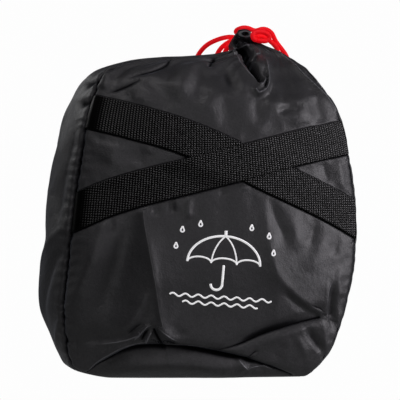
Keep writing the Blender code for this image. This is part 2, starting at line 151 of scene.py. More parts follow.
# One row for each level of the bag, from the patch it rests on up into the drawn mouth. x_left and x_right
# are the front seams, z_left and z_right the heights there, y_front and y_back the seams' depth, and the
# crowns how far each panel swells past its seams. tuck pulls the back seam of the left side in. lean tips a
# level forward, so that the rolled end of the mouth's casing faces the front, and twist turns a level about
# the upright axis.
BAG_COLUMNS = (
    "x_left", "x_right", "z_left", "z_right", "y_front", "y_back",
    "crown_front", "crown_side", "crown_back", "tuck", "pleat", "lean", "twist",
)
BAG_ROWS = (
    (-64, 67, 0.0, 0.0, -32, 32, 4, 2, 4, 6, 0.0, 0.0, 0.12),
    (-80, 71.5, 1.2, 1.2, -36, 37, 8, 3, 7, 9, 0.0, 0.0, 0.12),
    (-99.5, 79, 7.0, 7.0, -38, 40, 12, 4, 9, 12, 0.0, 0.0, 0.12),
    (-106, 88.5, 18.0, 18.0, -38, 41, 15, 5, 12, 11, 0.0, 0.0, 0.11),
    (-108, 95, 32.0, 32.0, -38, 42, 17, 6, 14, 6, 0.0, 0.0, 0.09),
    (-109.5, 102, 52.0, 52.0, -38, 42, 19, 8, 16, 0, 0.0, 0.0, 0.06),
    (-107.5, 108.5, 78.0, 78.0, -38, 42, 21, 9, 18, -2, 0.0, 0.0, 0.03),
    (-104.5, 112, 108.0, 108.0, -37, 42, 22, 9, 19, -3, 0.0, 0.0, 0),
    (-101, 111, 138.0, 138.0, -36, 41, 22, 8, 19, -4, 0.0, 0.0, 0),
    (-97.5, 107.5, 163.0, 162.0, -35, 40, 21, 7, 18, -4, 0.0, 0.0, 0),
    (-93, 103.5, 187.0, 184.0, -33, 37, 20, 6, 17, -3, 0.0, 0.0, 0),
    (-87, 97, 207.0, 202.0, -30, 33, 19, 5, 15, -3, 0.2, 0.0, 0),
    (-81.5, 90.5, 220.0, 212.0, -26, 29, 17, 4, 13, -1, 0.5, 0.0, 0),
    (-68, 84.5, 228.5, 221.0, -21, 24, 14, 3, 11, 0, 0.9, 0.0, 0),
    (-42, 78, 234.0, 229.5, -16, 19, 11, 3, 8, 0, 1.3, 0.0, 0),
    (-10, 72, 236.5, 234.5, -11, 14, 8, 2, 6, 0, 1.5, 0.0, 0),
    (14, 67, 239.0, 238.0, -8, 10, 5, 2, 4, 0, 1.3, 0.0, 0),
    (22, 62, 243.0, 241.5, -6.5, 8, 3.5, 1, 3, 0, 1.0, 0.0, 0),
    (23.5, 55.5, 248.0, 245.0, -5.5, 5, 3, 0.8, 2, 0, 0.7, 0.1, 0),
    (25.5, 47.5, 252.5, 248.5, -4.5, 3.8, 2.5, 0.8, 1.6, 0, 0.4, 0.3, 0),
    (28, 41, 255.4, 252.8, -4.4, 2.2, 1.6, 0.6, 1.2, 0, 0.0, 0.9, 0),
    (30.6, 38.8, 255.8, 254.8, -5.4, -1, 1, 0.5, 0.9, 0, 0.0, 1.4, 0),
    (31.4, 38.2, 255.6, 254.8, -6.8, -3, 0.8, 0.4, 0.7, 0, 0.0, 1.6, 0),
    (33, 36.6, 255.2, 254.8, -6.2, -4.4, 0.4, 0.3, 0.4, 0, 0.0, 1.6, 0),
    (33.4, 36.2, 255.0, 254.6, -4.6, -3, 0.3, 0.2, 0.3, 0, 0.0, 1.6, 0),
)

# The folds on the bag's front. Each is a line of x, z points and how far it lifts the cloth, or sinks it.
# left and right are the widths of its two flanks, as seen going along the points. A softness near 1 makes it
# a sharp crease, and start and end are the share of its height that it has at its ends.
FOLD_COLUMNS = ("points", "height", "left", "right", "softness", "start", "end")
FOLDS = (
    # the front seam's arch over the base, the strip that bulges under it and the cloth that sags over it
    (((-90.5, 4.5), (-88, 6.5), (-83.5, 11), (-76.5, 15), (-66.5, 21), (-57, 24.5), (-45.5, 25.5),
      (-31, 25), (-15.5, 23.5), (0.5, 20), (18.5, 16),
      (32, 11.5), (44, 7.5), (60, 0.5)), -5, 1.1, 4.5, 1.15, 0.3, 0.4),
    (((-90, 5), (-85, 11.5), (-78, 17),
      (-68, 23), (-58.5, 26.5), (-50, 28)), 2.4, 2.5, 1.2, 1.15, 0.5, 0.7),
    (((-37, 26.5), (-25, 26), (-10.5, 24.5), (2.5, 21)), 1.2, 3, 1.2, 1.2, 0.5, 0),
    (((-81, 4), (-57.5, 10), (-25.5, 11.5), (3.5, 8), (30.5, 4)), 4, 6, 6, 2, 0.1, 0.1),
    (((-73, 21), (-57.5, 30), (-36.5, 31.5),
      (-11.5, 30), (14.5, 23.5), (34.5, 17.5)), 1.8, 10, 4, 1.6, 0, 0),
    (((16.5, 15), (21, 10), (25, 6.5)), 1.6, 2, 3, 1.2, 0.3, 0.3),
    (((25, 7.5), (35.5, 9), (44.5, 5)), 1.4, 2.5, 2, 1.2, 0.5, 0.3),
    # the long upright fold under the lower strap and its neighbours
    (((-54.5, 124.5), (-53, 114.5), (-51, 105), (-47.5, 88.5),
      (-44.5, 70.5), (-41.5, 53), (-38.5, 37.5)), 5, 12, 9, 1.05, 0.5, 1.1),
    (((-53.5, 123), (-52, 110), (-48, 88.5),
      (-44.5, 70.5), (-41.5, 52), (-38.5, 40)), 0.8, 3.5, 1.2, 1.2, 0.7, 1),
    (((-51.5, 112), (-48, 90.5), (-44, 69), (-42.5, 54.5)), 2.5, 16, 22, 1.8, 0.2, 0.2),
    (((-21, 130), (-21.5, 121.5), (-20, 115.5)), 1.6, 3, 3.1, 1.35, 0.9, 0),
    (((-81.5, 110.5), (-83, 101.5), (-88, 85.5),
      (-94.5, 68.5), (-98, 56.5), (-98, 41.5)), 6.4, 13, 10, 1.7, 0.3, 0.6),
    (((-64.5, 120.5), (-63, 105), (-68, 89.5),
      (-73, 75.5), (-78.5, 58), (-82.5, 39.5)), -3, 11, 9, 2, 0.3, 0.3),
    (((-96, 27), (-85.5, 28.5), (-74, 30), (-63, 34.5)), -2.2, 12, 3, 1.5, 0.5, 0.4),
    (((-48, 69.5), (-52, 59.5), (-56.5, 49), (-64.5, 39.5), (-72.5, 34)), 4, 5, 8, 1.5, 0.3, 0.3),
    # the crumple that it ends in
    (((-53, 42.5), (-58.5, 38), (-63.5, 33)), -1, 1.6, 3, 1.15, 0.4, 0.1),
    (((-46, 41), (-50, 39), (-54, 34), (-58, 30)), 2, 1.4, 2.2, 1.15, 0.3, 0.5),
    (((-48.5, 38), (-51.5, 34), (-53, 29.5)), -2, 1.2, 1.2, 1.1, 0.3, 0.4),
    (((-46, 36), (-48.5, 31.5), (-50, 27)), 2.2, 1.2, 1.4, 1.1, 0.3, 0.5),
    (((-45, 39), (-42.5, 33), (-38.5, 27)), -3.6, 1.6, 2.4, 1.1, 0.5, 0.6),
    (((-42, 39.5), (-37.5, 35.5), (-32, 31), (-26.5, 28)), 1.6, 2.5, 1.5, 1.1, 0.4, 0.2),
    (((-37, 30), (-32, 28), (-28, 26.5)), -1.6, 1.3, 1.3, 1.1, 0.4, 0.2),
    (((-87, 25.5), (-75, 27), (-62.5, 30), (-54, 34)), 1.4, 2, 2.2, 1.2, 0.1, 0.6),
    (((-68, 35.5), (-61, 40.5), (-53.5, 44), (-46, 42)), 1.5, 4, 4, 1.5, 0.2, 0.4),
    (((-35, 43.5), (-28, 36), (-18.5, 30)), -1.2, 4, 4, 1.6, 0, 0.2),
    # the creases that come to a point at the lower right
    (((36, 128), (36.5, 110), (38.5, 92.5), (44.5, 75),
      (55.5, 63), (66.5, 55.5), (78, 49)), 3.6, 14, 7, 1.15, 0.2, 0.8),
    (((50, 124.5), (55.5, 114), (60.5, 102.5), (63, 90)), 1.2, 6, 7, 1.7, 0.4, 0),
    (((46.5, 69), (55, 60), (65.5, 52), (76.5, 46.5)), -2.2, 1.5, 4, 1.6, 0.05, 0.6),
    (((80, 44.5), (62.5, 41), (37.5, 34), (16, 25.5), (-1.5, 21)), -2.6, 2, 5, 1.1, 0.9, 0.3),
    (((75, 46), (62, 43.5), (37.5, 36.5), (16, 27.5), (2.5, 23)), -1.1, 2.5, 3, 2.5, 0.4, 0.3),
    (((77.5, 39), (64, 36), (46, 31), (30.5, 24)), 1.4, 5, 3, 1.4, 0.3, 0),
    (((70, 53.5), (78, 51), (82, 48)), -1.2, 2, 3, 1.2, 0.2, 0.3),
    (((88.5, 73), (88, 62.5), (88, 52.5), (89.5, 42), (92, 33.5)), -3.4, 3.2, 2.6, 3, 0.05, 0.05),
    (((88.5, 71.5), (84.5, 60.5), (83, 50)), 1.6, 2.5, 5, 1.2, 0.2, 0.2),
    (((80.5, 43), (82.5, 31), (84, 18.5)), 1.4, 3, 4, 1.25, 0.5, 0.1),
    (((94.5, 84.5), (94.5, 67.5), (94.5, 53)), 1.2, 4, 4, 1.5, 0, 0),
    (((59, 32), (64.5, 23.5), (70, 15)), 1.4, 4, 3, 1.5, 0.3, 0.1),
    (((66.5, 38), (72.5, 30.5), (79, 22.5), (82.5, 16.5)), -2.6, 3, 2.5, 2, 0.2, 0.3),
    (((23.5, 15), (28, 19.5), (32, 21)), -1.2, 2, 2.5, 1.2, 0.5, 0.1),
    (((52.5, 27.5), (46, 19.5), (43, 12)), -1, 4, 4, 1.5, 0, 0.2),
    # soft upright folds under the webbing on the right
    (((61, 114), (58, 104.5), (56, 92.5)), 0.7, 6, 5, 1.6, 0.4, 0),
    (((41, 127.5), (45, 115.5), (50.5, 104), (55, 94)), -2.2, 4, 4.5, 1.5, 0.5, 0),
    (((81.5, 107), (78, 93.5), (70, 75.5)), 1.2, 6, 6, 1.7, 0.3, 0),
    (((76.5, 114), (74, 105.5), (71.5, 95)), -1.3, 4, 4, 1.6, 0.5, 0),
    (((92.5, 101), (91, 87.5)), -0.9, 4, 4, 1.6, 0.5, 0),
    # puckers along the webbing's lower edges
    (((-45, 128), (-44, 117)), -1.3, 3, 3, 1.6, 0.9, 0),
    (((-33.5, 131.5), (-33, 119.5)), -1.4, 3, 3, 1.6, 0.9, 0),
    (((-27.5, 133), (-30, 121.5)), 1, 2.5, 2.5, 1.6, 0.9, 0),
    (((4, 142), (5.5, 132.5)), -1.2, 3, 3, 1.6, 0.9, 0),
    (((20.5, 146), (22, 136)), 1, 3, 3, 1.6, 0.9, 0),
    (((-76, 114), (-75, 104)), -1.1, 3, 3, 1.6, 0.9, 0),
    (((-70, 186), (-72, 176.5)), -1.2, 3, 3, 1.6, 0.9, 0),
    (((-35.5, 177), (-38, 169)), 0.7, 3, 3, 1.6, 0.9, 0),
    # between the webbing, left and right of the crossing
    (((-55.5, 170), (-56.5, 160.5), (-58, 153.5)), -1, 4, 4, 1.6, 0.5, 0),
    (((-73, 173.5), (-75, 165), (-79, 155.5)), 1.2, 7, 7, 1.8, 0, 0),
    (((-46.5, 170.5), (-48, 162.5)), 0.8, 3, 3, 1.6, 0.5, 0),
    (((-82.5, 181), (-84, 171)), -0.8, 3, 3, 1.6, 0.6, 0),
    (((82.5, 164.5), (85.5, 151), (88.5, 139.5)), -1.2, 4, 4, 1.5, 0.5, 0.3),
    (((95.5, 163), (98, 145.5), (101.5, 133.5)), 1, 4, 4, 1.6, 0.4, 0.3),
    # the upper left corner and the creases beside it
    (((-77, 207.5), (-68.5, 210.5), (-59.5, 214), (-52, 218)), -1.4, 1.1, 1.1, 1.1, 0.1, 0.5),
    (((-60.5, 219), (-48, 222.5), (-38, 226.5), (-31, 230), (-25, 235)), -1.7, 1.1, 1.2, 1.1, 0.1, 0.8),
    (((-45.5, 215.5), (-49.5, 204.5), (-47, 194)), 1.4, 8, 8, 1.8, 0, 0),
    (((-74, 225.5), (-76.5, 218), (-79, 209)), 1.4, 5, 3, 1.5, 0.4, 0.2),
    (((-7.5, 234.5), (-19, 221), (-25.5, 210.5), (-28, 200)), 3, 7, 9, 1.8, 0.3, 0),
    (((-2, 230.5), (-8.5, 216.5), (-12, 200)), -1.8, 7, 7, 2, 0.2, 0),
    # the pocket under the drawn mouth, its curled lip and the creases round it
    (((29, 243.5), (31.5, 237), (33, 230.5), (35, 225), (37, 219.5)), -8, 2, 2.6, 3, 0.6, 0.6),
    (((24, 242), (24, 235), (26.5, 228.5), (30.5, 221.5), (37.5, 215)), 2, 1.2, 7, 1.1, 0.6, 0.8),
    (((45, 233), (44.5, 223.5), (43, 216),
      (39.5, 210.5), (33.5, 208), (31.5, 211)), 3.4, 1.2, 1.1, 1.1, 0.4, 0.7),
    (((34.5, 213), (39.5, 216), (42.5, 221.5)), 2, 1.1, 1.1, 1.1, 0.5, 0.4),
    (((38.5, 211.5), (41.5, 216), (43, 222)), -1.6, 1.2, 1.2, 1.1, 0.4, 0.3),
    (((22, 243), (27.5, 245.5), (34.5, 246.5), (39, 246)), 1.8, 1.2, 2, 1.1, 0.6, 0.2),
    (((29, 248), (37, 249.5), (47, 247.5)), -1.8, 1.6, 1.6, 1.2, 0.4, 0.2),
    (((25.5, 241), (28, 237)), 1.6, 1.6, 1.6, 1.3, 1, 1),
    (((33, 256), (36.5, 256)), -2, 1.6, 1.6, 1.5, 0.7, 0.7),
    (((27.5, 249.5), (31, 248.5), (35.5, 249)), 1.4, 1.2, 1.4, 1.1, 0.4, 0.4),
    (((25.5, 248), (28.5, 250)), -1.6, 1.3, 1.3, 1.1, 0.4, 0.4),
    (((47, 216), (43.5, 209), (36.5, 204.5), (28, 206)), -1.6, 4, 3, 1.4, 0.3, 0.3),
    (((39, 243.5), (40.5, 237), (39, 229.5), (39.5, 222.5)), 3.5, 7, 3.5, 2, 0.6, 0.3),
    (((29.5, 244), (33.5, 240.5), (35.5, 235.5)), -4.5, 2.5, 3, 3, 0.8, 0.4),
    (((52.5, 237), (55, 223), (57.5, 210.5), (59.5, 201)), -1.6, 9, 7, 2, 0.3, 0.4),
    (((36, 201.5), (45.5, 200), (55, 199)), 1.3, 6, 4, 1.8, 0.2, 0.3),
    (((65, 200), (56.5, 197.5), (46.5, 195)), -1.8, 2.5, 3, 1.9, 0.3, 0.1),
    (((32, 203.5), (32.5, 194.5), (35.5, 184.5)), -1.4, 3.5, 5, 1.6, 0.5, 0),
    (((11.5, 206.5), (10.5, 194.5), (13, 182.5)), -1.2, 7, 7, 2, 0.2, 0.2),
    (((-1.5, 210.5), (-4.5, 201.5), (-6.5, 191.5)), 1.1, 6, 6, 2, 0.2, 0.2),
    (((63.5, 210.5), (63.5, 203), (65, 194), (67, 184)), 2.4, 10, 8, 1.9, 0.3, 0.4),
    (((79.5, 209.5), (81, 200), (84, 190)), -1.8, 5, 7, 1.7, 0.5, 0.8),
    (((9, 238), (3, 233), (-1, 227.5)), -2.8, 2.5, 2.5, 1.2, 1, 0),
    (((13.5, 236.5), (12.5, 222.5), (20, 209.5)), -2.4, 7, 7, 1.7, 0.3, 0),
    (((19, 233), (20.5, 220), (27.5, 208)), 1.4, 5, 5, 1.6, 0.3, 0),
    # the casing's stitched edge and the pleats outside it
    (((59.5, 240.5), (65.5, 234.5), (71, 225.5),
      (80.5, 215), (90.5, 205), (97.5, 197)), 3.2, 3, 2, 1.1, 0.6, 0.4),
    (((64.5, 238.5), (71.5, 231), (79, 222.5), (86.5, 212)), -0.7, 1.3, 1.3, 1.1, 0.4, 0.2),
    (((66, 239.5), (74, 232.5), (81, 225), (87, 216)), 0.9, 1.1, 1.1, 1.1, 0.4, 0.2),
)

# The same for the left side, whose points are y, z.
SIDE_FOLDS = (
    (((14, 214), (12, 180), (16, 140), (18, 100)), 1.2, 12, 10, 1.8, 0, 0),
    (((-20, 206), (-22, 170), (-19, 130), (-23, 92)), -2.2, 8, 7, 1.6, 0.2, 0),
    (((-34, 206), (-26, 201), (-14, 202)), -2.4, 3, 4, 1.3, 1, 0.3),
    (((-30, 222), (-20, 216), (-4, 214)), -2.4, 3, 5, 1.5, 0.4, 0.4),
    (((2, 206), (20, 190), (40, 172)), 1.2, 8, 7, 1.7, 0.2, 0),
    (((-36, 114), (-22, 106), (4, 92), (24, 74)), 1.3, 5, 4, 1.25, 0.8, 0),
    (((-36, 98), (-20, 84), (-2, 56), (6, 30)), -1.8, 7, 6, 1.5, 0.4, 0),
    (((22, 96), (16, 60), (10, 26)), 0.9, 9, 8, 1.8, 0, 0),
    (((-34, 46), (-20, 36), (-2, 16)), 1.4, 4, 4, 1.4, 0.8, 0),
    (((-32, 20), (-16, 14), (4, 10)), -1.6, 4, 4, 1.4, 1, 0),
)

# And for the back, in x, z, where nothing rises under the cords.
BACK_FOLDS = (
    (((24, 238), (4, 214), (-24, 192), (-56, 176)), -2.0, 8, 6, 1.7, 0.5, 0),
    (((36, 234), (52, 204), (64, 168), (70, 130)), -1.8, 8, 9, 1.8, 0.5, 0),
    (((-88, 198), (-62, 160), (-46, 116)), 2.2, 12, 9, 1.8, 0.3, 0),
    (((-70, 120), (-52, 92), (-44, 60)), -1.8, 8, 10, 1.8, 0, 0),
    (((94, 62), (62, 48), (28, 44), (-8, 50)), -2.2, 9, 7, 1.7, 0.5, 0.1),
    (((-94, 46), (-62, 34), (-30, 36)), 2.2, 8, 10, 1.7, 0.5, 0),
    (((90, 112), (66, 90), (40, 80)), 1.8, 8, 9, 1.7, 0.6, 0),
)

# Webbing across the front, from the left seam to the right one: the x, z points of its middle. The lower
# strap lies over the upper one where they cross.
STRAPS = {
    "strap_under": (
        (-104, 198), (-84, 193.5), (-61, 187.5), (-30, 178.5), (2, 166), (42, 147.5), (86, 128), (118, 112),
    ),
    "strap_over": (
        (-114, 115), (-96, 123.5), (-76, 132), (-52, 139.5), (-22, 147), (20, 157.5), (60, 168), (92, 175),
        (112, 179),
    ),
}
STRAP_LINE_STEP = 3.0  # between the places at which a strap's line is read
STRAP_STEPS = 70  # of the grid by which a strap is laid on the bag, along it
STRAP_STEPS_ACROSS = 4
STRAP_CROWDING = 0.6  # how much closer than even those steps are at the ends
STRAP_REACH = (-100.0, 110.0)  # x of its ends, from which their places at the seams are worked out
STRAP_ROUNDS = 6  # of that work
STRAP_END = 1.0  # of webbing left out beside the seam that takes it
SEAM_LEVELS = (1, 12, 60)  # the table's rows between which webbing meets a seam, and how many steps are read
STRAP_RAISED = 2.0  # how far beside the lower webbing the upper one is fully raised
STRAP_CLIMB = 16.0  # the length in which it climbs onto the lower one
STRAP_CLEAR = 5.0  # folds die away this far from the webbing that holds the cloth flat
STRAP_SHADOW_OFFSET = 0.4  # from the webbing's edge to the middle of the line beside it, a slight bumped groove darkened with painted shadow
STRAP_SHADOW_WIDER_BELOW = 1.8  # how much wider that line is below the webbing than above it
STRAP_SHADOW_STRENGTH = (-0.5, -0.9)  # the painted shadow's strength above the webbing and below it
STRAP_SHADOW_FACING = -0.3  # it is left out where the cloth faces the front less than this
RIB_ALONG = 2.1  # one float of the weave along the webbing
RIBS_ACROSS = 17  # floats across the webbing, half a float on from those before them
RIB_WIDTH = WEBBING_WIDTH / RIBS_ACROSS
RIB_RELIEF = 0.55
RIB_POINTS = 4  # mesh steps in one float
PILLOW_POWER = 2.2  # how flat the top of a float, or of a strand of the cord, is
WEAVE_START_RAMP = (5.0, 19.0)  # the relief and the painted light on it fade where the webbing goes into the left seam,
WEAVE_END = 2.0  # and in this length at its right end
EDGE_ROUNDING = 0.45  # how far the webbing's edges are rounded off, in a strip
EDGE_STRIP = 0.7  # this wide

# The red drawcord's pieces: the points of each one's middle line, as x, y, z. The left one comes out of the
# mouth's back, arches to the left and loops down behind the bag. The tail hangs there with its free end.
# The right one is knotted beside the mouth, loops down behind the bag, comes up again, and goes over the
# mouth's rolled end.
CORDS = {
    "cord_left_loop": (
        (38, 14, 251), (34.5, 15, 253.4), (31, 15.2, 254.6), (26.5, 14.6, 254.9), (21.7, 13.6, 254.2),
        (17, 12.6, 252.8), (11.8, 12, 250.6), (7.8, 12.8, 248.1), (5, 15, 245.2), (3.2, 19, 242),
        (1.8, 26, 237.2), (0.8, 34, 231), (0.3, 41.5, 222), (0.3, 48.5, 209.5), (0.4, 53.5, 197),
        (1.2, 56.2, 189), (4.2, 57.6, 182.2), (9.5, 58.2, 179.4), (14.8, 57.6, 182.2), (17.6, 55.8, 190),
        (18.2, 52, 201), (18.2, 47, 212), (18, 40.5, 222), (17.5, 32.5, 231.2), (17, 24.5, 237.2),
        (17.2, 18.2, 241.6), (18.4, 15.2, 244.8), (21.2, 13.6, 248.1), (25, 12.7, 250.8), (29, 11.5, 252.2),
        (34, 10.2, 252),
    ),
    "cord_left_tail": (
        (33.5, 10.9, 246.8), (29.5, 9.7, 248.3), (26.2, 9.1, 248.5), (23.8, 9.8, 246.8), (22.4, 12.2, 244),
        (22.3, 16, 241.5), (23.5, 22.4, 238.6), (25.5, 30.2, 233), (27.5, 38.4, 224.9), (28.8, 45.8, 212.8),
        (29.4, 51.9, 199.2), (29.3, 56, 185), (28.6, 58.6, 171),
    ),
    "cord_right": (
        (41.4, -9.2, 250.4), (39.4, -9.3, 251.8), (38.6, -9.1, 253.8), (39.2, -8.8, 255.8),
        (41.2, -8.5, 257), (44.2, -8.2, 257.3), (47.4, -7.9, 256.9), (50.2, -7.6, 255.7),
        (51.9, -7.3, 253.6), (51.2, -7, 251.6), (49, -6.8, 250.5), (45.8, -6.5, 250.5),
        (43, -5.7, 251.1), (41.6, -3.9, 252.1), (42.3, -2, 253.4), (44.8, -1.1, 254.5),
        (47.8, -1.1, 254.5), (50.6, -1.3, 253.3), (53.4, -1.4, 251.4), (56.3, -1.2, 249),
        (59.2, 0.9, 246.6), (61.4, 6.2, 244.2), (63.2, 12.6, 241.4),
        (64.2, 18.4, 238.6), (62, 26, 234), (59.3, 33.6, 227.6), (57.2, 40.2, 218.5), (56, 46.2, 206.5),
        (56.8, 49.9, 195.5), (60.2, 51.4, 187.4), (66, 51, 184.2), (71.6, 48.8, 188.8),
        (74, 45.4, 198.5), (74.5, 40.4, 209), (74.5, 34.2, 218), (74.2, 27.6, 226), (73.5, 21.2, 232.4),
        (72.4, 16.4, 237.4), (70.7, 13, 239.9), (68.1, 9.8, 242.9), (64.4, 7.8, 246.9),
        (60.9, 6.2, 250.6), (58.7, 5, 253.8), (57, 4.6, 257), (54.6, 4.4, 259.2), (51.6, 4.4, 260.4),
        (48.6, 4.4, 260.4), (46.1, 4.5, 259.6), (43.7, 4.6, 259.2), (41.3, 4.6, 259.8), (38.5, 4.6, 260.9),
        (35.2, 4.7, 261.3), (32.2, 5, 260.7), (30.1, 6.1, 259.7), (29.6, 7.9, 258.5), (30.8, 9.5, 257.4),
        (33, 10.2, 256.4),
    ),
}
BRAID_STRANDS = 6  # in each direction
BRAID_PITCH = 1.9
BRAID_RELIEF = 0.16
BRAID_LEVEL = 0.6  # of the relief, at which the cord has its diameter
CORD_SIDES = 30
CORD_STEP = 0.4
CORD_ROUNDING = 1.2  # the length in which a cord's end is rounded
CORD_TIP = 0.05  # the least share of the cross-section that is left at its tip
CORD_ON_BACK = 22.0  # behind this y the cords lie on the bag's back
CORD_CLEAR = 0.1  # left between them and the cloth
CORD_PUSH = 4.0  # the most that a cord is moved to clear it
CORD_EASING = 25  # of the cord's steps, in which that move comes and goes
ASKEW = (0.3, 0.2, 1.0)  # a direction in which no cord starts
ROUTE_STEPS = 40  # for each point of a route, between which it is measured
BEFORE_BAG = -200.0  # y of a place in front of it
TINY = 1e-9  # keeps a length of 0 out of a division

# ---------------------------------------------------------------- smooth tables and ramps


def smooth_rows(table, at):
    """The table's rows read at fractional row numbers, on smooth curves through the rows."""
    table = np.asarray(table, float)
    at = np.clip(np.asarray(at, float), 0, len(table) - 1)
    low = np.minimum(at.astype(int), len(table) - 2)
    share = (at - low)[:, None]
    before = table[np.maximum(low - 1, 0)]
    start = table[low]
    end = table[low + 1]
    after = table[np.minimum(low + 2, len(table) - 1)]
    return 0.5 * (
        2 * start
        + (end - before) * share
        + (2 * before - 5 * start + 4 * end - after) * share**2
        + (3 * start - before - 3 * end + after) * share**3
    )


def reached(line):
    """How far along a line of points each of them lies."""
    return np.concatenate([[0], np.cumsum(np.linalg.norm(np.diff(line, axis=0), axis=1))])


def smooth_line(points, step):
    """Points about step apart on the smooth curve through a route's own points."""
    fine = smooth_rows(points, np.linspace(0, len(points) - 1, ROUTE_STEPS * len(points)))
    along = reached(fine)
    at = np.linspace(0, along[-1], max(3, round(along[-1] / step) + 1))
    return np.stack([np.interp(at, along, fine[:, k]) for k in range(fine.shape[1])], axis=1)


def side_of_line(x, z, points):
    """How far x, z are from a line of points, which side of it they lie on, and how far along it they are."""
    line = smooth_line(points, FOLD_STEP)
    distance = np.full(x.shape, np.inf)
    side = np.zeros(x.shape)
    along = np.zeros(x.shape)
    for number, (start, end) in enumerate(zip(line[:-1], line[1:])):
        run = end - start
        length = np.hypot(*run)
        share = np.clip(((x - start[0]) * run[0] + (z - start[1]) * run[1]) / length**2, 0, 1)
        away = np.hypot(x - start[0] - share * run[0], z - start[1] - share * run[1])
        nearer = away < distance
        turned = ((x - start[0]) * run[1] - (z - start[1]) * run[0]) / length
        distance = np.where(nearer, away, distance)
        side = np.where(nearer, np.sign(turned), side)
        along = np.where(nearer, (number + share) / (len(line) - 1), along)
    return distance, side, along


def risen(value, start, full):
    """0 up to start and 1 from full on, in a straight line between them. start may be the higher one."""
    return np.clip((value - start) / (full - start), 0, 1)


def eased(value, start, full):
    """The same with a soft start and end."""
    share = risen(value, start, full)
    return share * share * (3 - 2 * share)


def crowded(share, crowding):
    """Even shares, moved closer together near 0 and near 1."""
    return share - crowding * np.sin(2 * np.pi * share) / (2 * np.pi)


# ---------------------------------------------------------------- the stuffed bag


def crown(share):
    """The swell of a stuffed panel, from 0 at its seams to 1 in its middle."""
    return 1 - np.abs(2 * share - 1) ** CROWN_POWER


def smooth_bag(levels, loop):
    """The bag without its folds: points for each level of the table and each place round the loop.

    loop counts panels: 0 to 1 is the front, from its left seam to its right one, then come the right side,
    the back and the left side."""
    row = dict(zip(BAG_COLUMNS, smooth_rows(BAG_ROWS, levels).T[:, :, None]))
    loop = np.asarray(loop, float)[None, :] % 4
    panel = np.minimum(loop.astype(int), 3)
    share = loop - panel
    swell = crown(share)
    across = (row["x_right"] - row["x_left"]) * share
    deep = (row["y_back"] - row["y_front"]) * share
    pulled = row["tuck"]
    back_left = row["x_left"] + pulled
    x = np.choose(panel, [
        row["x_left"] + across,
        row["x_right"] + RIGHT_CROWN * row["crown_side"] * swell,
        row["x_right"] + (back_left - row["x_right"]) * share,
        back_left - pulled * share - row["crown_side"] * swell,
    ])
    y = np.choose(panel, [
        row["y_front"] - row["crown_front"] * swell,
        row["y_front"] + deep,
        row["y_back"] + row["crown_back"] * swell,
        row["y_back"] - deep,
    ])
    rise = (row["z_right"] - row["z_left"]) / (row["x_right"] - row["x_left"])
    z = row["z_left"] + rise * (x - row["x_left"]) + row["lean"] * (y - (row["y_front"] + row["y_back"]) / 2)
    return np.stack([x, y - row["twist"] * x, np.maximum(z, 0)], axis=2), row["pleat"]


def outward(points):
    """The outward direction at each point of a grid of levels by places round the loop."""
    up = np.gradient(points, axis=0)
    round_it = np.roll(points, -1, axis=1) - np.roll(points, 1, axis=1)
    out = np.cross(round_it, up)
    return out / np.maximum(np.linalg.norm(out, axis=2, keepdims=True), TINY)


def strap_middle(name, x):
    """The height of a strap's middle line at x, and its slope."""
    line = smooth_line(STRAPS[name], STRAP_LINE_STEP)
    slope = np.gradient(line[:, 1], line[:, 0])
    return np.interp(x, line[:, 0], line[:, 1]), np.interp(x, line[:, 0], slope)


def beside_strap(name, x, z):
    """How far x, z are outside a strap's edge, with minus under the strap, and which of them are below it."""
    middle, slope = strap_middle(name, x)
    return np.abs(z - middle) / np.sqrt(1 + slope**2) - WEBBING_WIDTH / 2, z < middle


def under_strap(x, z):
    """1 where webbing holds the cloth flat, falling to 0 beside it."""
    held = np.zeros(x.shape)
    for name in STRAPS:
        away, _ = beside_strap(name, x, z)
        held = np.maximum(held, risen(away, STRAP_CLEAR, 0))
    return held


def lattice_noise(points, size, seed):
    """Smooth random heights between -1 and 1, one for each of the points, with hills about size wide."""
    shuffled = np.random.default_rng(seed).permutation(LATTICE)
    place = points / size
    corner = np.floor(place).astype(int)
    share = eased(place - corner, 0, 1)
    total = np.zeros(points.shape[:-1])
    for step in np.ndindex(2, 2, 2):
        drawn = 0
        for number in np.moveaxis(corner + step, -1, 0):
            drawn = shuffled[(drawn + number) % LATTICE]
        weight = np.prod(np.where(np.array(step) == 1, share, 1 - share), axis=-1)
        total += weight * (2 * drawn / (LATTICE - 1) - 1)
    return total


def hills(points, kind):
    """The heights that CHANCE has for this kind, smooth and to both sides of 0."""
    height, size, seed = CHANCE[kind]
    return height * lattice_noise(points, size, seed)


def creases(points, kind):
    """The same with sharp-edged creases, from 0 up to their height, which a wider noise bends."""
    height, size, seed = CHANCE[kind]
    bend = np.stack([lattice_noise(points, CREASE_BEND * size, seed + k) for k in (1, 2, 3)], axis=-1)
    return height * (1 - np.abs(lattice_noise(points + size * bend, size, seed)))


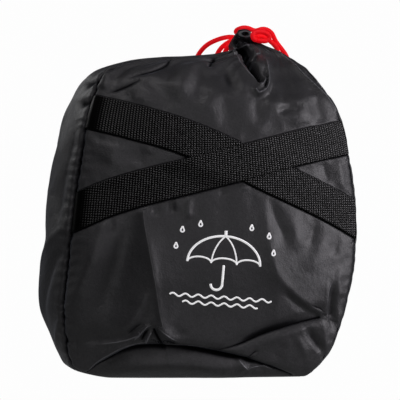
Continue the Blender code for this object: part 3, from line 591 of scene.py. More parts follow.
def fold_height(x, z, folds):
    """How far the folds lift or sink the cloth at two coordinates of its own panel, and their crisp edges.

    An edge is given as the distance to the nearest one, with the sign of the side, in units that grow with a
    valley's depth, and its strength, from 1 on a ridge to -1 in a valley. The cloth's finish paints a
    highlight along a ridge's edge and shade along a valley's."""
    height = np.zeros(x.shape)
    edge = np.full(x.shape, EDGE_FAR)
    strength = np.zeros(x.shape)
    for fold in folds:
        fold = dict(zip(FOLD_COLUMNS, fold))
        distance, side, along = side_of_line(x, z, fold["points"])
        width = np.where(side < 0, fold["left"], fold["right"])
        near = (np.hypot(distance, FOLD_TIP) - FOLD_TIP) / width
        rise = fold["start"] + (1 - fold["start"]) * eased(along, 0, FOLD_ENDS)
        fall = fold["end"] + (1 - fold["end"]) * eased(1 - along, 0, FOLD_ENDS)
        size = fold["height"] * rise * fall
        height += size * np.exp(-(near ** fold["softness"]))
        distance = distance / (1 + np.clip(-size, 0, VALLEY_WIDEST) / VALLEY_WIDENS)
        crisp = fold["softness"] < FOLD_CRISP and min(fold["left"], fold["right"]) < RIM_WIDTH
        nearest = (distance < np.abs(edge)) & (along > 0) & (along < 1) & crisp
        full = np.where(size < 0, VALLEY_FULL, RIDGE_FULL)
        edge = np.where(nearest, side * distance, edge)
        strength = np.where(nearest, np.clip(size / full, -1, 1), strength)
    return height, edge, strength


def gathers(cloth, pleat):
    """The pleats round the mouth: the main ones, and finer uneven ones between them."""
    turns = PLEATS * cloth + PLEAT_DRIFT * np.sin(6 * np.pi * cloth)
    lift = np.cos(2 * np.pi * turns)
    for count, share, start in FINER_PLEATS:
        drift = FINER_DRIFT * np.sin(6 * np.pi * cloth + start)
        lift = lift + share * np.cos(2 * np.pi * (count * cloth + start + drift))
    return pleat * lift


def groove(away, depth):
    """The lift, less than 0, that a seam of this depth gives the cloth this far away from it."""
    return -depth * np.exp(-((away / SEAM_HALF_WIDTH) ** 2)) - SEAM_DISH * np.exp(-away / SEAM_DISH_WIDTH)


def nearest_seam(loop):
    """Which seam is nearest to places round the loop, and how far away it is, with minus before it."""
    number = np.round(loop)
    width = np.choose(np.floor(loop).astype(int) % 2, PANEL_WIDTHS)
    return number.astype(int) % 4, (loop - number) * width


def seam_lift(points, loop, loose):
    """The seams' grooves and small puckers, the signed distance to the nearest seam, and the strength of the
    painted shade line along it.
    """
    seam, line = nearest_seam(loop)
    height = points[:, :, 2]
    line = line + hills(points, "seam line") * loose
    away = np.abs(line)
    depth = np.choose(seam, SEAM_DEPTH) * (1 + hills(points, "seam depth") * loose)
    wave = np.sin(height / PUCKER_LENGTH + hills(points, "pucker phase"))
    size = np.choose(seam, SEAM_PUCKER) * (PUCKER_LEAST + creases(points, "pucker height"))
    pucker = size * wave * np.exp(-away / PUCKER_REACH) * risen(away, 0, PUCKER_START)
    on_side = risen(height, *SEAM_FOOT_RAMP) * risen(height, *SEAM_TOP_RAMP)
    return (groove(away, depth) + pucker * loose) * on_side, line / SEAM_LINE, on_side


def take_nearer(edge, strength, its_edge, its_strength, here=True):
    """The edges and their strengths, with one more edge where here is true and it is the nearest one."""
    nearer = (np.abs(its_edge) < np.abs(edge)) & here
    return np.where(nearer, its_edge, edge), np.where(nearer, its_strength, strength)


def add_hole(moved, shade, edge, strength):
    """The painted light marks, with the small opening in the mouth's rolled end: painted shade in it and a
    painted highlight on its rim.
    """
    to_middle = (moved[:, :, [0, 2]] - BEAK_HOLE) / BEAK_HOLE_SIZE
    from_hole = np.hypot(to_middle[:, :, 0], to_middle[:, :, 1])
    facing = moved[:, :, 1] < 0
    in_hole = eased(from_hole, *HOLE_RAMP) * facing
    rim = (from_hole < HOLE_RIM_END) & facing
    edge = np.where(rim, from_hole - HOLE_RIM, edge)
    return np.stack([np.maximum(shade, in_hole), edge, np.where(rim, 1 - in_hole, strength)], axis=2)


def bag_surface(levels, loop):
    """The fine bag's surface, in millimetres, and three marks on it with which the cloth's finish paints
    light and shade.

    The marks are painted shade, from 0 to 1, by how deep a point lies in a fold or a seam and how high on the
    beak, and the edge and strength of a painted line, as fold_height has them."""
    points, pleat = smooth_bag(levels, loop)
    out = outward(points)
    loop = np.asarray(loop, float)[None, :] % 4
    x, y, z = np.moveaxis(points, 2, 0)
    front, back, side = loop[0] < 1, (loop[0] > 2) & (loop[0] < 3), loop[0] > 3
    cloth = np.interp(loop, range(5), CLOTH_SHARES)
    loose = 1 - under_strap(x, z) * front
    calm = eased(loop, *CALM_LOOP_RAMP) * front * eased(z, *CALM_TOP_RAMP)
    # Each seam gets a line of painted shade along its groove.
    seams, edge, seam_shade_strength = seam_lift(points, loop, loose)
    strength = -seam_shade_strength
    folds = np.zeros(x.shape)
    for panel, across, table, faces in (
        (front, x, FOLDS, np.clip(-FACING * out[:, :, 1], 0, 1) * loose),
        (side, y, SIDE_FOLDS, np.clip(-SIDE_FACING * out[:, :, 0], 0, 1)),
        (back, x, BACK_FOLDS, np.clip(FACING * out[:, :, 1], 0, 1)),
    ):
        height, its_edge, its_strength = fold_height(across[:, panel], z[:, panel], table)
        folds[:, panel] = height * faces[:, panel]
        edge[:, panel], strength[:, panel] = take_nearer(
            edge[:, panel], strength[:, panel], its_edge, its_strength * faces[:, panel]
        )
    lift = gathers(cloth, pleat) * (1 - CALM * calm) + seams + folds
    # A line of painted shadow beside each strap, wider and darker below it.
    for name in STRAPS:
        away, below = beside_strap(name, x, z)
        away = (away - STRAP_SHADOW_OFFSET) / np.where(below, STRAP_SHADOW_WIDER_BELOW, 1)
        strap_shadow_here = front & (out[:, :, 1] < STRAP_SHADOW_FACING)
        edge, strength = take_nearer(edge, strength, away, np.choose(below, STRAP_SHADOW_STRENGTH), strap_shadow_here)
    # Painted shade: darker deep in folds and seams, and up on the beak.
    shade = np.maximum(eased(-lift, *DEEP_RAMP), BEAK_SHADE * eased(z, *BEAK_SHADE_RAMP))
    strength = strength * risen(np.abs(edge), *EDGE_RAMP)
    soft = creases(points * CREASE_SQUASH, "wide creases") + creases(points, "small creases") - CREASE_LEVEL
    lift = lift + soft * loose * risen(z, *CREASE_FOOT_RAMP) * risen(z, *CREASE_TOP_RAMP)
    moved = points + out * lift[:, :, None]
    moved[:, :, 2] = np.where(z <= 0, 0, np.maximum(moved[:, :, 2], LOWEST))
    steep_x, steep_z = np.transpose(BEAK_SIDE)
    over_foot = eased(moved[:, :, 2], steep_z[0], steep_z[0] + BEAK_TURN)
    moved[:, :, 0] += over_foot * np.maximum(0, np.interp(moved[:, :, 2], steep_z, steep_x) - moved[:, :, 0])
    return moved, add_hole(moved, shade, edge, strength)


def bag_levels(step, calm_step=1.0):
    """Fractional rows of the table, so many in each gap that the cloth's rows are about step apart."""
    whole, _ = smooth_bag(np.arange(len(BAG_ROWS)), np.linspace(0, 1, 5))
    gaps = np.linalg.norm(np.diff(whole, axis=0), axis=2).mean(axis=1)
    gaps[slice(*CLOTH_CALM_ROWS)] /= calm_step
    levels = [
        row + np.arange(steps) / steps
        for row, steps in enumerate(np.maximum(2, np.ceil(gaps / step)).astype(int))
    ]
    return np.concatenate([*levels, [len(BAG_ROWS) - 1]])


def bag_loop(columns, crowding=0.0):
    """The places round the bag that a mesh has, closer together near the seams."""
    places = []
    for number, steps in enumerate(columns.values()):
        share = np.arange(steps) / steps
        places.append(number + crowded(share, crowding))
    return np.concatenate(places)


# ---------------------------------------------------------------- slack in the cloth


def sim_holds(points, loop):
    """How firmly each simulated point is held: 1 at the seams, the base and the mouth and under webbing."""
    _, to_seam = nearest_seam(loop)
    x, _, height = np.moveaxis(points, 2, 0)
    at_seam = eased(np.abs(to_seam), *HELD_SEAM_RAMP)
    at_ends = np.maximum(eased(height, *HELD_BASE_RAMP), eased(height, *HELD_MOUTH_RAMP))
    return np.maximum(np.maximum(at_seam, at_ends), under_strap(x, height) * (loop < 1))


def slack(levels, loop):
    """Where a simulated cloth, cut a little too wide, moves the bag's points to, less where they were."""
    start, _ = bag_surface(levels, loop)
    mesh = bpy.data.meshes.new("slack")
    faces = grid_faces(*start.shape[:2], True).tolist()
    mesh.from_pydata((start.reshape(-1, 3) * SIM_SCALE).tolist(), [], faces)
    made = in_scene("slack", mesh)
    group = made.vertex_groups.new(name="held")
    for number, weight in enumerate(sim_holds(start, loop).ravel()):
        group.add([number], float(weight), "REPLACE")
    cloth = made.modifiers.new("cloth", "CLOTH")
    settings = cloth.settings
    settings.quality = 6
    settings.mass = 0.3
    settings.tension_stiffness = settings.compression_stiffness = 15
    settings.shear_stiffness = 8
    settings.bending_stiffness = 4.0
    settings.vertex_group_mass = "held"
    settings.shrink_min = -SIM_SLACK
    settings.use_pressure = True
    settings.uniform_pressure_force = 0.15
    settings.effector_weights.gravity = 0.15
    cloth.point_cache.frame_start = 1
    cloth.point_cache.frame_end = SIM_FRAMES
    for number in range(1, SIM_FRAMES + 1):
        bpy.context.scene.frame_set(number)
    shape = made.evaluated_get(bpy.context.evaluated_depsgraph_get())
    moved = np.zeros(start.size)
    shape.data.vertices.foreach_get("co", moved)
    bpy.data.objects.remove(made)
    bpy.data.meshes.remove(mesh)
    bpy.context.scene.frame_set(1)
    shift = moved.reshape(start.shape) / SIM_SCALE - start
    shift *= np.array(list(SIM_SHARE.values()))[loop.astype(int)][:, None]
    size = np.linalg.norm(shift, axis=2, keepdims=True)
    return shift * np.minimum(1, SIM_CAP / np.maximum(size, TINY))


def shift_at(shift, levels, loop, fine_levels, fine_loop):
    """A shift known at coarse levels and places round the loop, read on smooth curves at the fine ones."""
    rows, columns = shift.shape[:2]
    up = smooth_rows(shift.reshape(rows, -1), np.interp(fine_levels, levels, np.arange(rows)))
    turned = up.reshape(-1, columns, 3).transpose(1, 0, 2).reshape(columns, -1)
    wrapped = np.concatenate([turned[-2:], turned, turned[:3]])
    places = np.interp(fine_loop, np.concatenate([loop, [4.0]]), np.arange(columns + 1)) + 2
    return smooth_rows(wrapped, places).reshape(len(fine_loop), len(fine_levels), 3).transpose(1, 0, 2)


# ---------------------------------------------------------------- meshes


def in_scene(name, data):
    """A new object in the scene, with this mesh, light or camera."""
    made = bpy.data.objects.new(name, data)
    bpy.context.scene.collection.objects.link(made)
    return made


def grid_faces(rows, columns, closed):
    """Quads over a grid of points numbered row by row, wrapping round where closed."""
    steps = columns if closed else columns - 1
    row, column = np.meshgrid(np.arange(rows - 1) * columns, np.arange(steps), indexing="ij")
    right = (column + 1) % columns
    corners = (row + column, row + right, row + columns + right, row + columns + column)
    return np.stack(corners, axis=-1).reshape(-1, 4)


def tube_faces(rows, columns):
    """The faces of a closed tube: its wall, and one face over each end."""
    start = tuple(range(columns))[::-1]
    end = tuple((rows - 1) * columns + column for column in range(columns))
    return [start, *map(tuple, grid_faces(rows, columns, True)), end]


def slab_faces(rows, columns):
    """The faces of a slab between a grid of inner points and a like grid of outer ones that come after."""
    flat = grid_faces(rows, columns, False)
    rim = np.concatenate([
        np.arange(rows) * columns,
        (rows - 1) * columns + np.arange(1, columns),
        np.arange(rows - 2, -1, -1) * columns + columns - 1,
        np.arange(columns - 2, 0, -1),
    ])
    after = np.roll(rim, -1)
    outer = rows * columns
    sides = np.stack([rim, after, outer + after, outer + rim], axis=1)
    return np.concatenate([flat[:, ::-1], flat + outer, sides])


def new_object(name, points, faces, finish):
    """A smooth-shaded mesh object from points in millimetres."""
    mesh = bpy.data.meshes.new(name)
    mesh.from_pydata((np.asarray(points).reshape(-1, 3) * MM).tolist(), [], [tuple(face) for face in faces])
    shape = bmesh.new()
    shape.from_mesh(mesh)
    bmesh.ops.recalc_face_normals(shape, faces=shape.faces)
    shape.to_mesh(mesh)
    shape.free()
    mesh.shade_smooth()
    mesh.materials.append(finish)
    return in_scene(name, mesh)


def keep_on_points(made, name, values):
    """Stores up to three numbers for each point of a mesh, which its finish reads."""
    stored = made.data.attributes.new(name, "FLOAT_VECTOR", "POINT")
    values = values.reshape(-1, values.shape[-1])
    padded = np.zeros((len(made.data.vertices), 3))
    padded[:, : values.shape[1]] = values
    stored.data.foreach_set("vector", padded.ravel())


def make_bag(finish):
    levels, loop = bag_levels(CLOTH_STEP, CLOTH_CALM_STEP), bag_loop(CLOTH_COLUMNS, CLOTH_CROWDING)
    grid, painted_light_marks = bag_surface(levels, loop)
    sim_levels, sim_loop = bag_levels(SIM_STEP), bag_loop(SIM_COLUMNS)
    grid = grid + shift_at(slack(sim_levels, sim_loop), sim_levels, sim_loop, levels, loop)
    grid[:, :, 2] = np.maximum(grid[:, :, 2], 0)
    made = new_object("bag_cloth", grid, tube_faces(*grid.shape[:2]), finish)
    round_it = np.cumsum(np.linalg.norm(np.diff(grid, axis=1, prepend=grid[:, -1:]), axis=2), axis=1)
    up = np.cumsum(np.linalg.norm(np.diff(grid, axis=0, prepend=grid[:1]), axis=2), axis=0)
    keep_on_points(made, "cloth", np.stack([round_it, up], axis=2) * MM)
    keep_on_points(made, "painted_light_marks", painted_light_marks)
    return made


# ---------------------------------------------------------------- the webbing


def tree_of(made):
    bpy.context.view_layer.update()
    return BVHTree.FromObject(made, bpy.context.evaluated_depsgraph_get())


def front_of(tree, x, z):
    """Where a line along +Y at x, z meets the bag's front, and the outward direction there."""
    place, normal, _, _ = tree.ray_cast(Vector((x, BEFORE_BAG, z)) * MM, Vector((0, 1, 0)))
    return np.array(place) / MM, np.array(normal)


def plain_tree():
    """The bag's smooth form, without its seams and folds, over which the webbing is stretched."""
    points, _ = smooth_bag(bag_levels(PLAIN_STEP), bag_loop(PLAIN_COLUMNS))
    faces = grid_faces(*points.shape[:2], True)
    return BVHTree.FromPolygons((points.reshape(-1, 3) * MM).tolist(), faces.tolist())


def out_of_sheet(grid):
    """The outward direction at each point of a grid, along the webbing by across it."""
    out = np.cross(np.gradient(grid, axis=1), np.gradient(grid, axis=0))
    return out / np.linalg.norm(out, axis=2, keepdims=True)


def strap_base(name, tree):
    """Points of the strap's inner face on the bag, along it by across it. Its ends sink into the seams."""
    seams, _ = smooth_bag(np.linspace(*SEAM_LEVELS), np.array([0.0, 1.0]))
    left, right = seams[:, 0], seams[:, 1]
    share = crowded(np.linspace(0, 1, STRAP_STEPS + 1), STRAP_CROWDING)
    base = np.zeros((STRAP_STEPS + 1, STRAP_STEPS_ACROSS + 1, 3))
    sunk = np.zeros(base.shape[:2])
    for column, offset in enumerate(np.linspace(0.5, -0.5, STRAP_STEPS_ACROSS + 1) * WEBBING_WIDTH):
        x = np.interp(share, (0, 1), STRAP_REACH)
        for _ in range(STRAP_ROUNDS):
            middle, slope = strap_middle(name, x)
            z = middle + offset * np.sqrt(1 + slope**2)
            start = np.interp(z, left[:, 2], left[:, 0])
            end = np.interp(z, right[:, 2], right[:, 0])
            x = start + STRAP_END + (end - start - 2 * STRAP_END) * share
        sunk[:, column] = groove(x - start, SEAM_DEPTH[0]) + groove(end - x, SEAM_DEPTH[1])
        for row in range(STRAP_STEPS + 1):
            base[row, column], _ = front_of(tree, x[row], z[row])
    return base + out_of_sheet(base) * sunk[:, :, None]


def crossing_lift(grid):
    """How far the upper webbing is raised, so that it clears the lower one."""
    away, _ = beside_strap("strap_under", grid[:, :, 0], grid[:, :, 2])
    return (WEBBING_THICKNESS + AIR) * eased(away, STRAP_RAISED + STRAP_CLIMB, STRAP_RAISED)


def finer(grid, places, columns):
    """A grid read at these places along it and at so many columns, on smooth curves both ways."""
    wide, rows = grid.shape[1], len(places)
    along = smooth_rows(grid.reshape(len(grid), -1), places)
    along = along.reshape(rows, wide, 3).transpose(1, 0, 2).reshape(wide, -1)
    across = smooth_rows(along, np.linspace(0, wide - 1, columns))
    return across.reshape(columns, rows, 3).transpose(1, 0, 2)


def from_middle(share):
    """How far a place is from the middle of its float or strand: 0 there, and 1 at both ends."""
    return np.abs(2 * (share % 1) - 1)


def pillow(share):
    return 1 - from_middle(share) ** PILLOW_POWER


def woven(along, across, floats):
    """The weave's relief, from 0 between its floats to 1 on top of them, and the painted light that each
    place gets, most on a float's top.
    """
    staggered = across + 0.5 * (np.floor(along) % 2)
    reach, end = along * RIB_ALONG, floats * RIB_ALONG
    fade = np.minimum(eased(reach, *WEAVE_START_RAMP), eased(reach, end, end - WEAVE_END))
    lit = (1 - from_middle(along)) * (1 - from_middle(staggered)) * fade
    return pillow(along) * pillow(staggered) * fade, lit


def make_strap(name, tree, finish):
    coarse = strap_base(name, tree)
    far = reached(coarse[:, STRAP_STEPS_ACROSS // 2])
    length = far[-1]
    floats = round(length / RIB_ALONG)
    places = np.interp(np.linspace(0, length, floats * RIB_POINTS + 1), far, np.arange(len(far)))
    grid = finer(coarse, places, RIBS_ACROSS * RIB_POINTS + 1)
    out = out_of_sheet(grid)
    rows, columns = grid.shape[:2]
    along = np.arange(rows)[:, None] / RIB_POINTS
    across = np.arange(columns)[None, :] / RIB_POINTS
    to_edge = np.minimum(across, RIBS_ACROSS - across) * RIB_WIDTH
    rounding = EDGE_ROUNDING * risen(to_edge, EDGE_STRIP, 0) ** 2
    weave, lit = woven(along, across, floats)
    lift = AIR + (crossing_lift(grid) if name == "strap_over" else 0)
    inner = grid + out * (lift + rounding)[:, :, None]
    outer = grid + out * (lift + WEBBING_THICKNESS + RIB_RELIEF * (weave - 1) - rounding)[:, :, None]
    made = new_object(name + "_webbing", [inner, outer], slab_faces(rows, columns), finish)
    # The second number stored is the weave's painted light.
    place = np.stack(np.broadcast_arrays(along * RIB_ALONG * MM, lit), axis=2)
    keep_on_points(made, "cloth", np.concatenate([place, place]))
    return made


# ---------------------------------------------------------------- the drawcord


def tube_frames(line):
    """Two directions square to the line at each of its points, carried along without twist."""
    heading = np.gradient(line, axis=0)
    heading /= np.linalg.norm(heading, axis=1, keepdims=True)
    side = np.zeros_like(line)
    start = np.cross(heading[0], ASKEW)
    side[0] = start / np.linalg.norm(start)
    for k in range(1, len(line)):
        turned = side[k - 1] - heading[k] * (side[k - 1] @ heading[k])
        side[k] = turned / np.linalg.norm(turned)
    return side, np.cross(heading, side)


def braid(angle, along):
    """The relief of a round braid, from 0 between its strands to 1 on top of them."""
    one = BRAID_STRANDS * angle / (2 * np.pi) + along / BRAID_PITCH
    other = BRAID_STRANDS * angle / (2 * np.pi) - along / BRAID_PITCH
    one_on_top = (np.floor(one) + np.floor(other)) % 2 == 0
    return np.where(one_on_top, pillow(one), pillow(other))


def laid_on_back(line, tree):
    """The cord's line, moved backwards where it would sink into the cloth of the bag's back."""
    push = np.zeros(len(line))
    for number, point in enumerate(line):
        if point[1] > CORD_ON_BACK:
            place, normal, _, _ = tree.find_nearest(Vector(point) * MM)
            gap = (Vector(point) - place / MM).dot(normal)
            push[number] = np.clip(CORD_DIAMETER / 2 + CORD_CLEAR - gap, 0, CORD_PUSH)
    window = np.hanning(CORD_EASING)
    widest = [push[max(0, k - CORD_EASING // 2) : k + CORD_EASING // 2 + 1].max() for k in range(len(push))]
    back = np.convolve(np.pad(widest, CORD_EASING // 2, mode="edge"), window / window.sum(), mode="valid")
    return line + back[:, None] * (0, 1, 0)


def make_cord(name, tree, finish, far_end, lay):
    line = laid_on_back(smooth_line(CORDS[name], CORD_STEP), tree)
    side, other = tube_frames(line)
    along = reached(line)[:, None]
    length = along[-1, 0]
    angle = np.linspace(0, 2 * np.pi, CORD_SIDES, endpoint=False)[None, :]
    radius = CORD_DIAMETER / 2 + BRAID_RELIEF * (braid(angle, along) - BRAID_LEVEL)
    cut = risen(np.minimum(along, length - along), CORD_ROUNDING, 0)
    radius = radius * np.sqrt(np.clip(1 - cut**2, CORD_TIP, 1))
    ring = side[:, None] * np.cos(angle)[..., None] + other[:, None] * np.sin(angle)[..., None]
    grid = line[:, None] + ring * radius[..., None]
    made = new_object(name + "_braid", grid, tube_faces(*grid.shape[:2]), finish)
    place = np.stack(np.broadcast_arrays(along, angle * CORD_DIAMETER / 2), axis=2)
    keep_on_points(made, "cloth", place * MM)
    return made


# ---------------------------------------------------------------- the print
# A plain umbrella in the rain over two waves, in white ink. Its points are x, z from the design's middle, and
# it is turned and set down on the bag's front as a whole.

PRINT_MIDDLE = (4.0, 78.0)
PRINT_TURN = math.radians(-4.5)
PRINT_BOLD = 1.35  # every stroke is this many times as wide as listed
PRINT_STEP = 1.2  # the longest straight piece in a stroke
INK = 0.3  # thickness of the ink's solid, of which about half stands out of the cloth

CANOPY_FOOT = 6.0  # height of the umbrella's lower edge
CANOPY_SIZE = (27.0, 20.0)  # half its width, and its height
CANOPY_POINTS = (-27.0, -9.5, 9.5, 27.0)  # x of the points between its scallops
SCALLOP = 4.0  # how high they are
SPOKE_BEND = (0.9, 13.0)  # where a spoke bends: share of the way out, and height over the lower edge
SPOKE_POINTS = 20
TIP = 30.0  # height of the spike on top
STICK = (5.0, -9.0)  # heights of its top and of the handle
HANDLE = 4.2  # radius
RAINDROPS = ((-36, 16), (-32, 28), (-19, 33), (19, 33), (32, 28), (36, 16))
RAINDROP = 1.25  # radius
RAINDROP_ROUND = (160, 380)  # degrees between which a drop is round
RAINDROP_TOP = 2.4  # height of its point over its middle, in radii
WAVES = ((38, -18.5), (28, -23.5))  # half the length and the height of each
WAVE_SWING = 1.1
WAVE_POINTS = 90
WAVE_LENGTH = 9.5


def arc(middle, size, start, end, steps):
    """Points on part of an ellipse, whose size is half its width and height, from start to end in degrees."""
    turn = np.radians(np.linspace(start, end, steps))
    return np.stack([np.cos(turn), np.sin(turn)], axis=1) * size + middle


def wave(half, height):
    x = np.linspace(-half, half, WAVE_POINTS)
    return np.stack([x, height + WAVE_SWING * np.sin(2 * np.pi * (x + half) / WAVE_LENGTH)], axis=1)


def raindrop(x, z):
    """A drop's outline: a round bottom and a point at the top."""
    top = [(x, z + RAINDROP_TOP * RAINDROP)]
    return np.concatenate([top, arc((x, z), RAINDROP, *RAINDROP_ROUND, steps=14), top])


def spoke(foot):
    """A curve from a point on the canopy's lower edge to its top."""
    share = np.linspace(0, 1, SPOKE_POINTS)[:, None]
    out, up = SPOKE_BEND
    bend = (foot * out, CANOPY_FOOT + up)
    top = (0, CANOPY_FOOT + CANOPY_SIZE[1])
    return (1 - share) ** 2 * (foot, CANOPY_FOOT) + 2 * share * (1 - share) * bend + share**2 * top


def print_strokes():
    """The design's strokes, each as (points, width)."""
    top, handle = STICK
    strokes = [
        (arc((0, CANOPY_FOOT), CANOPY_SIZE, 0, 180, steps=40), 1.2),
        (np.array([(0, CANOPY_FOOT + CANOPY_SIZE[1]), (0, TIP)]), 1.6),
        (np.array([(0, top), (0, handle)]), 1.3),
        (arc((-HANDLE, handle), HANDLE, 0, -180, steps=16), 1.3),
    ]
    for left, right in zip(CANOPY_POINTS[:-1], CANOPY_POINTS[1:]):
        middle = ((left + right) / 2, CANOPY_FOOT)
        strokes.append((arc(middle, ((right - left) / 2, SCALLOP), 0, 180, steps=20), 0.9))
    strokes += [(spoke(foot), 0.8) for foot in CANOPY_POINTS[1:-1]]
    strokes += [(raindrop(x, z), 0.8) for x, z in RAINDROPS]
    strokes += [(wave(half, height), 0.9) for half, height in WAVES]
    return strokes


def stroke_edges(points, width):
    """Left and right edges of a stroke of even width."""
    heading = np.gradient(points, axis=0)
    heading /= np.maximum(np.linalg.norm(heading, axis=1, keepdims=True), TINY)
    square = np.stack([-heading[:, 1], heading[:, 0]], axis=1) * width / 2
    return points + square, points - square


def make_print(tree, finish):
    across = (math.cos(PRINT_TURN), math.sin(PRINT_TURN))
    turn = np.array([across, (-across[1], across[0])])
    points, faces = [], []
    for stroke, width in print_strokes():
        fine = [
            np.linspace(a, b, max(2, math.ceil(np.linalg.norm(b - a) / PRINT_STEP)), endpoint=False)
            for a, b in zip(stroke[:-1], stroke[1:])
        ]
        edges = stroke_edges(np.concatenate([*fine, stroke[-1:]]), width * PRINT_BOLD)
        faces += [tuple(len(points) + k for k in face) for face in tube_faces(len(edges[0]), 4)]
        for left, right in zip(*(edge @ turn + PRINT_MIDDLE for edge in edges)):
            for (x, z), sides in ((left, (-1, 1)), (right, (1, -1))):
                spot, out = front_of(tree, x, z)
                points += [spot + side * out * INK / 2 for side in sides]
    return new_object("front_print", points, faces, finish)


# ---------------------------------------------------------------- materials
# Noise is given as hills to the metre, fine detail and roughness, and a ramp's stops as place and colour.


class Nodes:
    """Short calls to add nodes to a node tree and to join them."""

    def __init__(self, owner):
        owner.use_nodes = True
        self.tree = owner.node_tree

    def put(self, value, socket):
        """Joins another node's output to a socket, or sets a number or a colour on it."""
        if isinstance(value, bpy.types.NodeSocket):
            self.tree.links.new(value, socket)
        else:
            socket.default_value = value

    def fill(self, node, **named):
        for name, value in named.items():
            self.put(value, node.inputs[name.replace("_", " ")])

    def add(self, kind, *ordered, **named):
        """A new node, whose inputs are given in order or by name."""
        node = self.tree.nodes.new(kind)
        for value, socket in zip(ordered, node.inputs):
            self.put(value, socket)
        self.fill(node, **named)
        return node

    def finish(self, **named):
        """Fills the shader that a new material comes with."""
        self.fill(self.tree.nodes["Principled BSDF"], **named)

    def apply(self, operation, *values):
        """A calculation with numbers and other nodes' outputs."""
        node = self.add("ShaderNodeMath")
        node.operation = operation
        for value, socket in zip(values, node.inputs):
            self.put(value, socket)
        return node.outputs[0]

    def kept(self, name):
        """The three numbers that keep_on_points stored."""
        place = self.add("ShaderNodeAttribute")
        place.attribute_name = name
        return self.add("ShaderNodeSeparateXYZ", place.outputs["Vector"]).outputs

    def threads(self, along, pitch):
        """A wave of one thread each pitch metres."""
        return self.apply("SINE", self.apply("MULTIPLY", along, 2 * math.pi / pitch))

    def noise(self, scale, detail=3.0, roughness=0.5):
        space = self.add("ShaderNodeTexCoord").outputs["Object"]
        node = self.add("ShaderNodeTexNoise", Vector=space, Scale=scale, Detail=detail, Roughness=roughness)
        return node.outputs[0]

    def ramp(self, value, *stops):
        node = self.add("ShaderNodeValToRGB", value)
        while len(node.color_ramp.elements) < len(stops):
            node.color_ramp.elements.new(0.5)
        for element, (at, colour) in zip(node.color_ramp.elements, stops):
            element.position = at
            element.color = (*colour, 1)
        return node.outputs[0]

    def scaled(self, value, low, high):
        return self.add("ShaderNodeMapRange", value, To_Min=low, To_Max=high).outputs[0]

    def bumps(self, *layers):
        """Bumps on top of each other, each from a height, the metres that it stands for and its strength."""
        below = {}
        for height, distance, strength in layers:
            node = self.add("ShaderNodeBump", Height=height, Distance=distance, Strength=strength, **below)
            below = {"Normal": node.outputs[0]}
        return node.outputs[0]


def grey(value):
    return (value, value, value)


def taffeta():
    """The bag's black cloth, finely woven and crinkled, with painted shade and painted highlights at its
    marks.
    """
    material = bpy.data.materials.new("black_taffeta")
    nodes = Nodes(material)
    round_it, up, _ = nodes.kept("cloth")
    shade, edge, strength = nodes.kept("painted_light_marks")
    away = nodes.apply("POWER", nodes.apply("ABSOLUTE", edge), 2.0)
    line = nodes.apply("EXPONENT", nodes.apply("MULTIPLY", away, -1 / EDGE_WIDTH**2))
    line = nodes.apply("MULTIPLY", line, strength)
    # Valley lines add painted shade, and ridge lines take it away and paint a highlight.
    valley = nodes.apply("MAXIMUM", nodes.apply("MULTIPLY", line, -1.0), 0.0)
    ridge = nodes.apply("MAXIMUM", line, 0.0)
    shade = nodes.apply("SUBTRACT", nodes.apply("MAXIMUM", shade, valley), ridge)
    # Random tone, lightened by the painted ridge highlights and darkened by the painted shade.
    tone_and_painted_light = nodes.apply("ADD", nodes.noise(22.0, 4.0, 0.6), ridge)
    tone_and_painted_light = nodes.apply("MULTIPLY", tone_and_painted_light, nodes.scaled(shade, 1.0, 0.0))
    colour = nodes.ramp(
        tone_and_painted_light,
        (0.0, grey(0.001)), (0.25, (0.013, 0.0127, 0.0143)), (0.7, (0.021, 0.0205, 0.023)),
        (1.0, (0.1, 0.1, 0.11)),
    )
    dull = nodes.apply("ADD", nodes.scaled(nodes.noise(60.0), 0.47, 0.57), nodes.scaled(shade, 0.0, 0.45))
    # Painted shade dims the reflection, with a random mottle over it.
    painted_shade_and_mottle = nodes.apply("ADD", shade, nodes.scaled(nodes.noise(600.0, 4.0, 0.65), 0.0, 0.5))
    threads = nodes.apply("ADD", nodes.threads(round_it, 0.00055), nodes.threads(up, 0.0006))
    soft, crinkle = nodes.noise(38.0, 4.0, 0.55), nodes.noise(150.0, 5.0, 0.65)
    grain = nodes.noise(900.0, 2.0, 0.6)
    normal = nodes.bumps(
        (line, 0.0006, 1.0), (soft, 0.0014, 0.5), (crinkle, 0.0005, 0.7), (grain, 0.00018, 0.9),
        (threads, 0.00002, 0.4),
    )
    nodes.finish(
        Base_Color=colour, Roughness=dull, Normal=normal,
        Specular_IOR_Level=0.6, Specular_Tint=nodes.ramp(painted_shade_and_mottle, (0.0, grey(1.5)), (0.9, grey(0.02))),
        Sheen_Weight=0.1, Sheen_Roughness=0.35, Sheen_Tint=(0.75, 0.8, 0.95, 1),
    )
    return material


def webbing():
    """Black webbing, with painted highlights on top of its floats and painted shade between them."""
    material = bpy.data.materials.new("black_webbing")
    nodes = Nodes(material)
    along, lit, _ = nodes.kept("cloth")
    # Colour and reflection follow the painted light: bright on the floats, dark between them.
    uneven_painted_light = nodes.apply("MULTIPLY", nodes.noise(180.0), lit)
    nodes.finish(
        Base_Color=nodes.ramp(uneven_painted_light, (0.1, grey(0.001)), (0.6, grey(0.016))),
        Roughness=nodes.scaled(nodes.noise(500.0, 2.0), 0.36, 0.48),
        Specular_IOR_Level=1.0, Specular_Tint=nodes.ramp(lit, (0.12, grey(0.01)), (0.6, grey(1.0))),
        Normal=nodes.bumps((nodes.threads(along, 0.0003), 0.00002, 0.5)),
    )
    return material


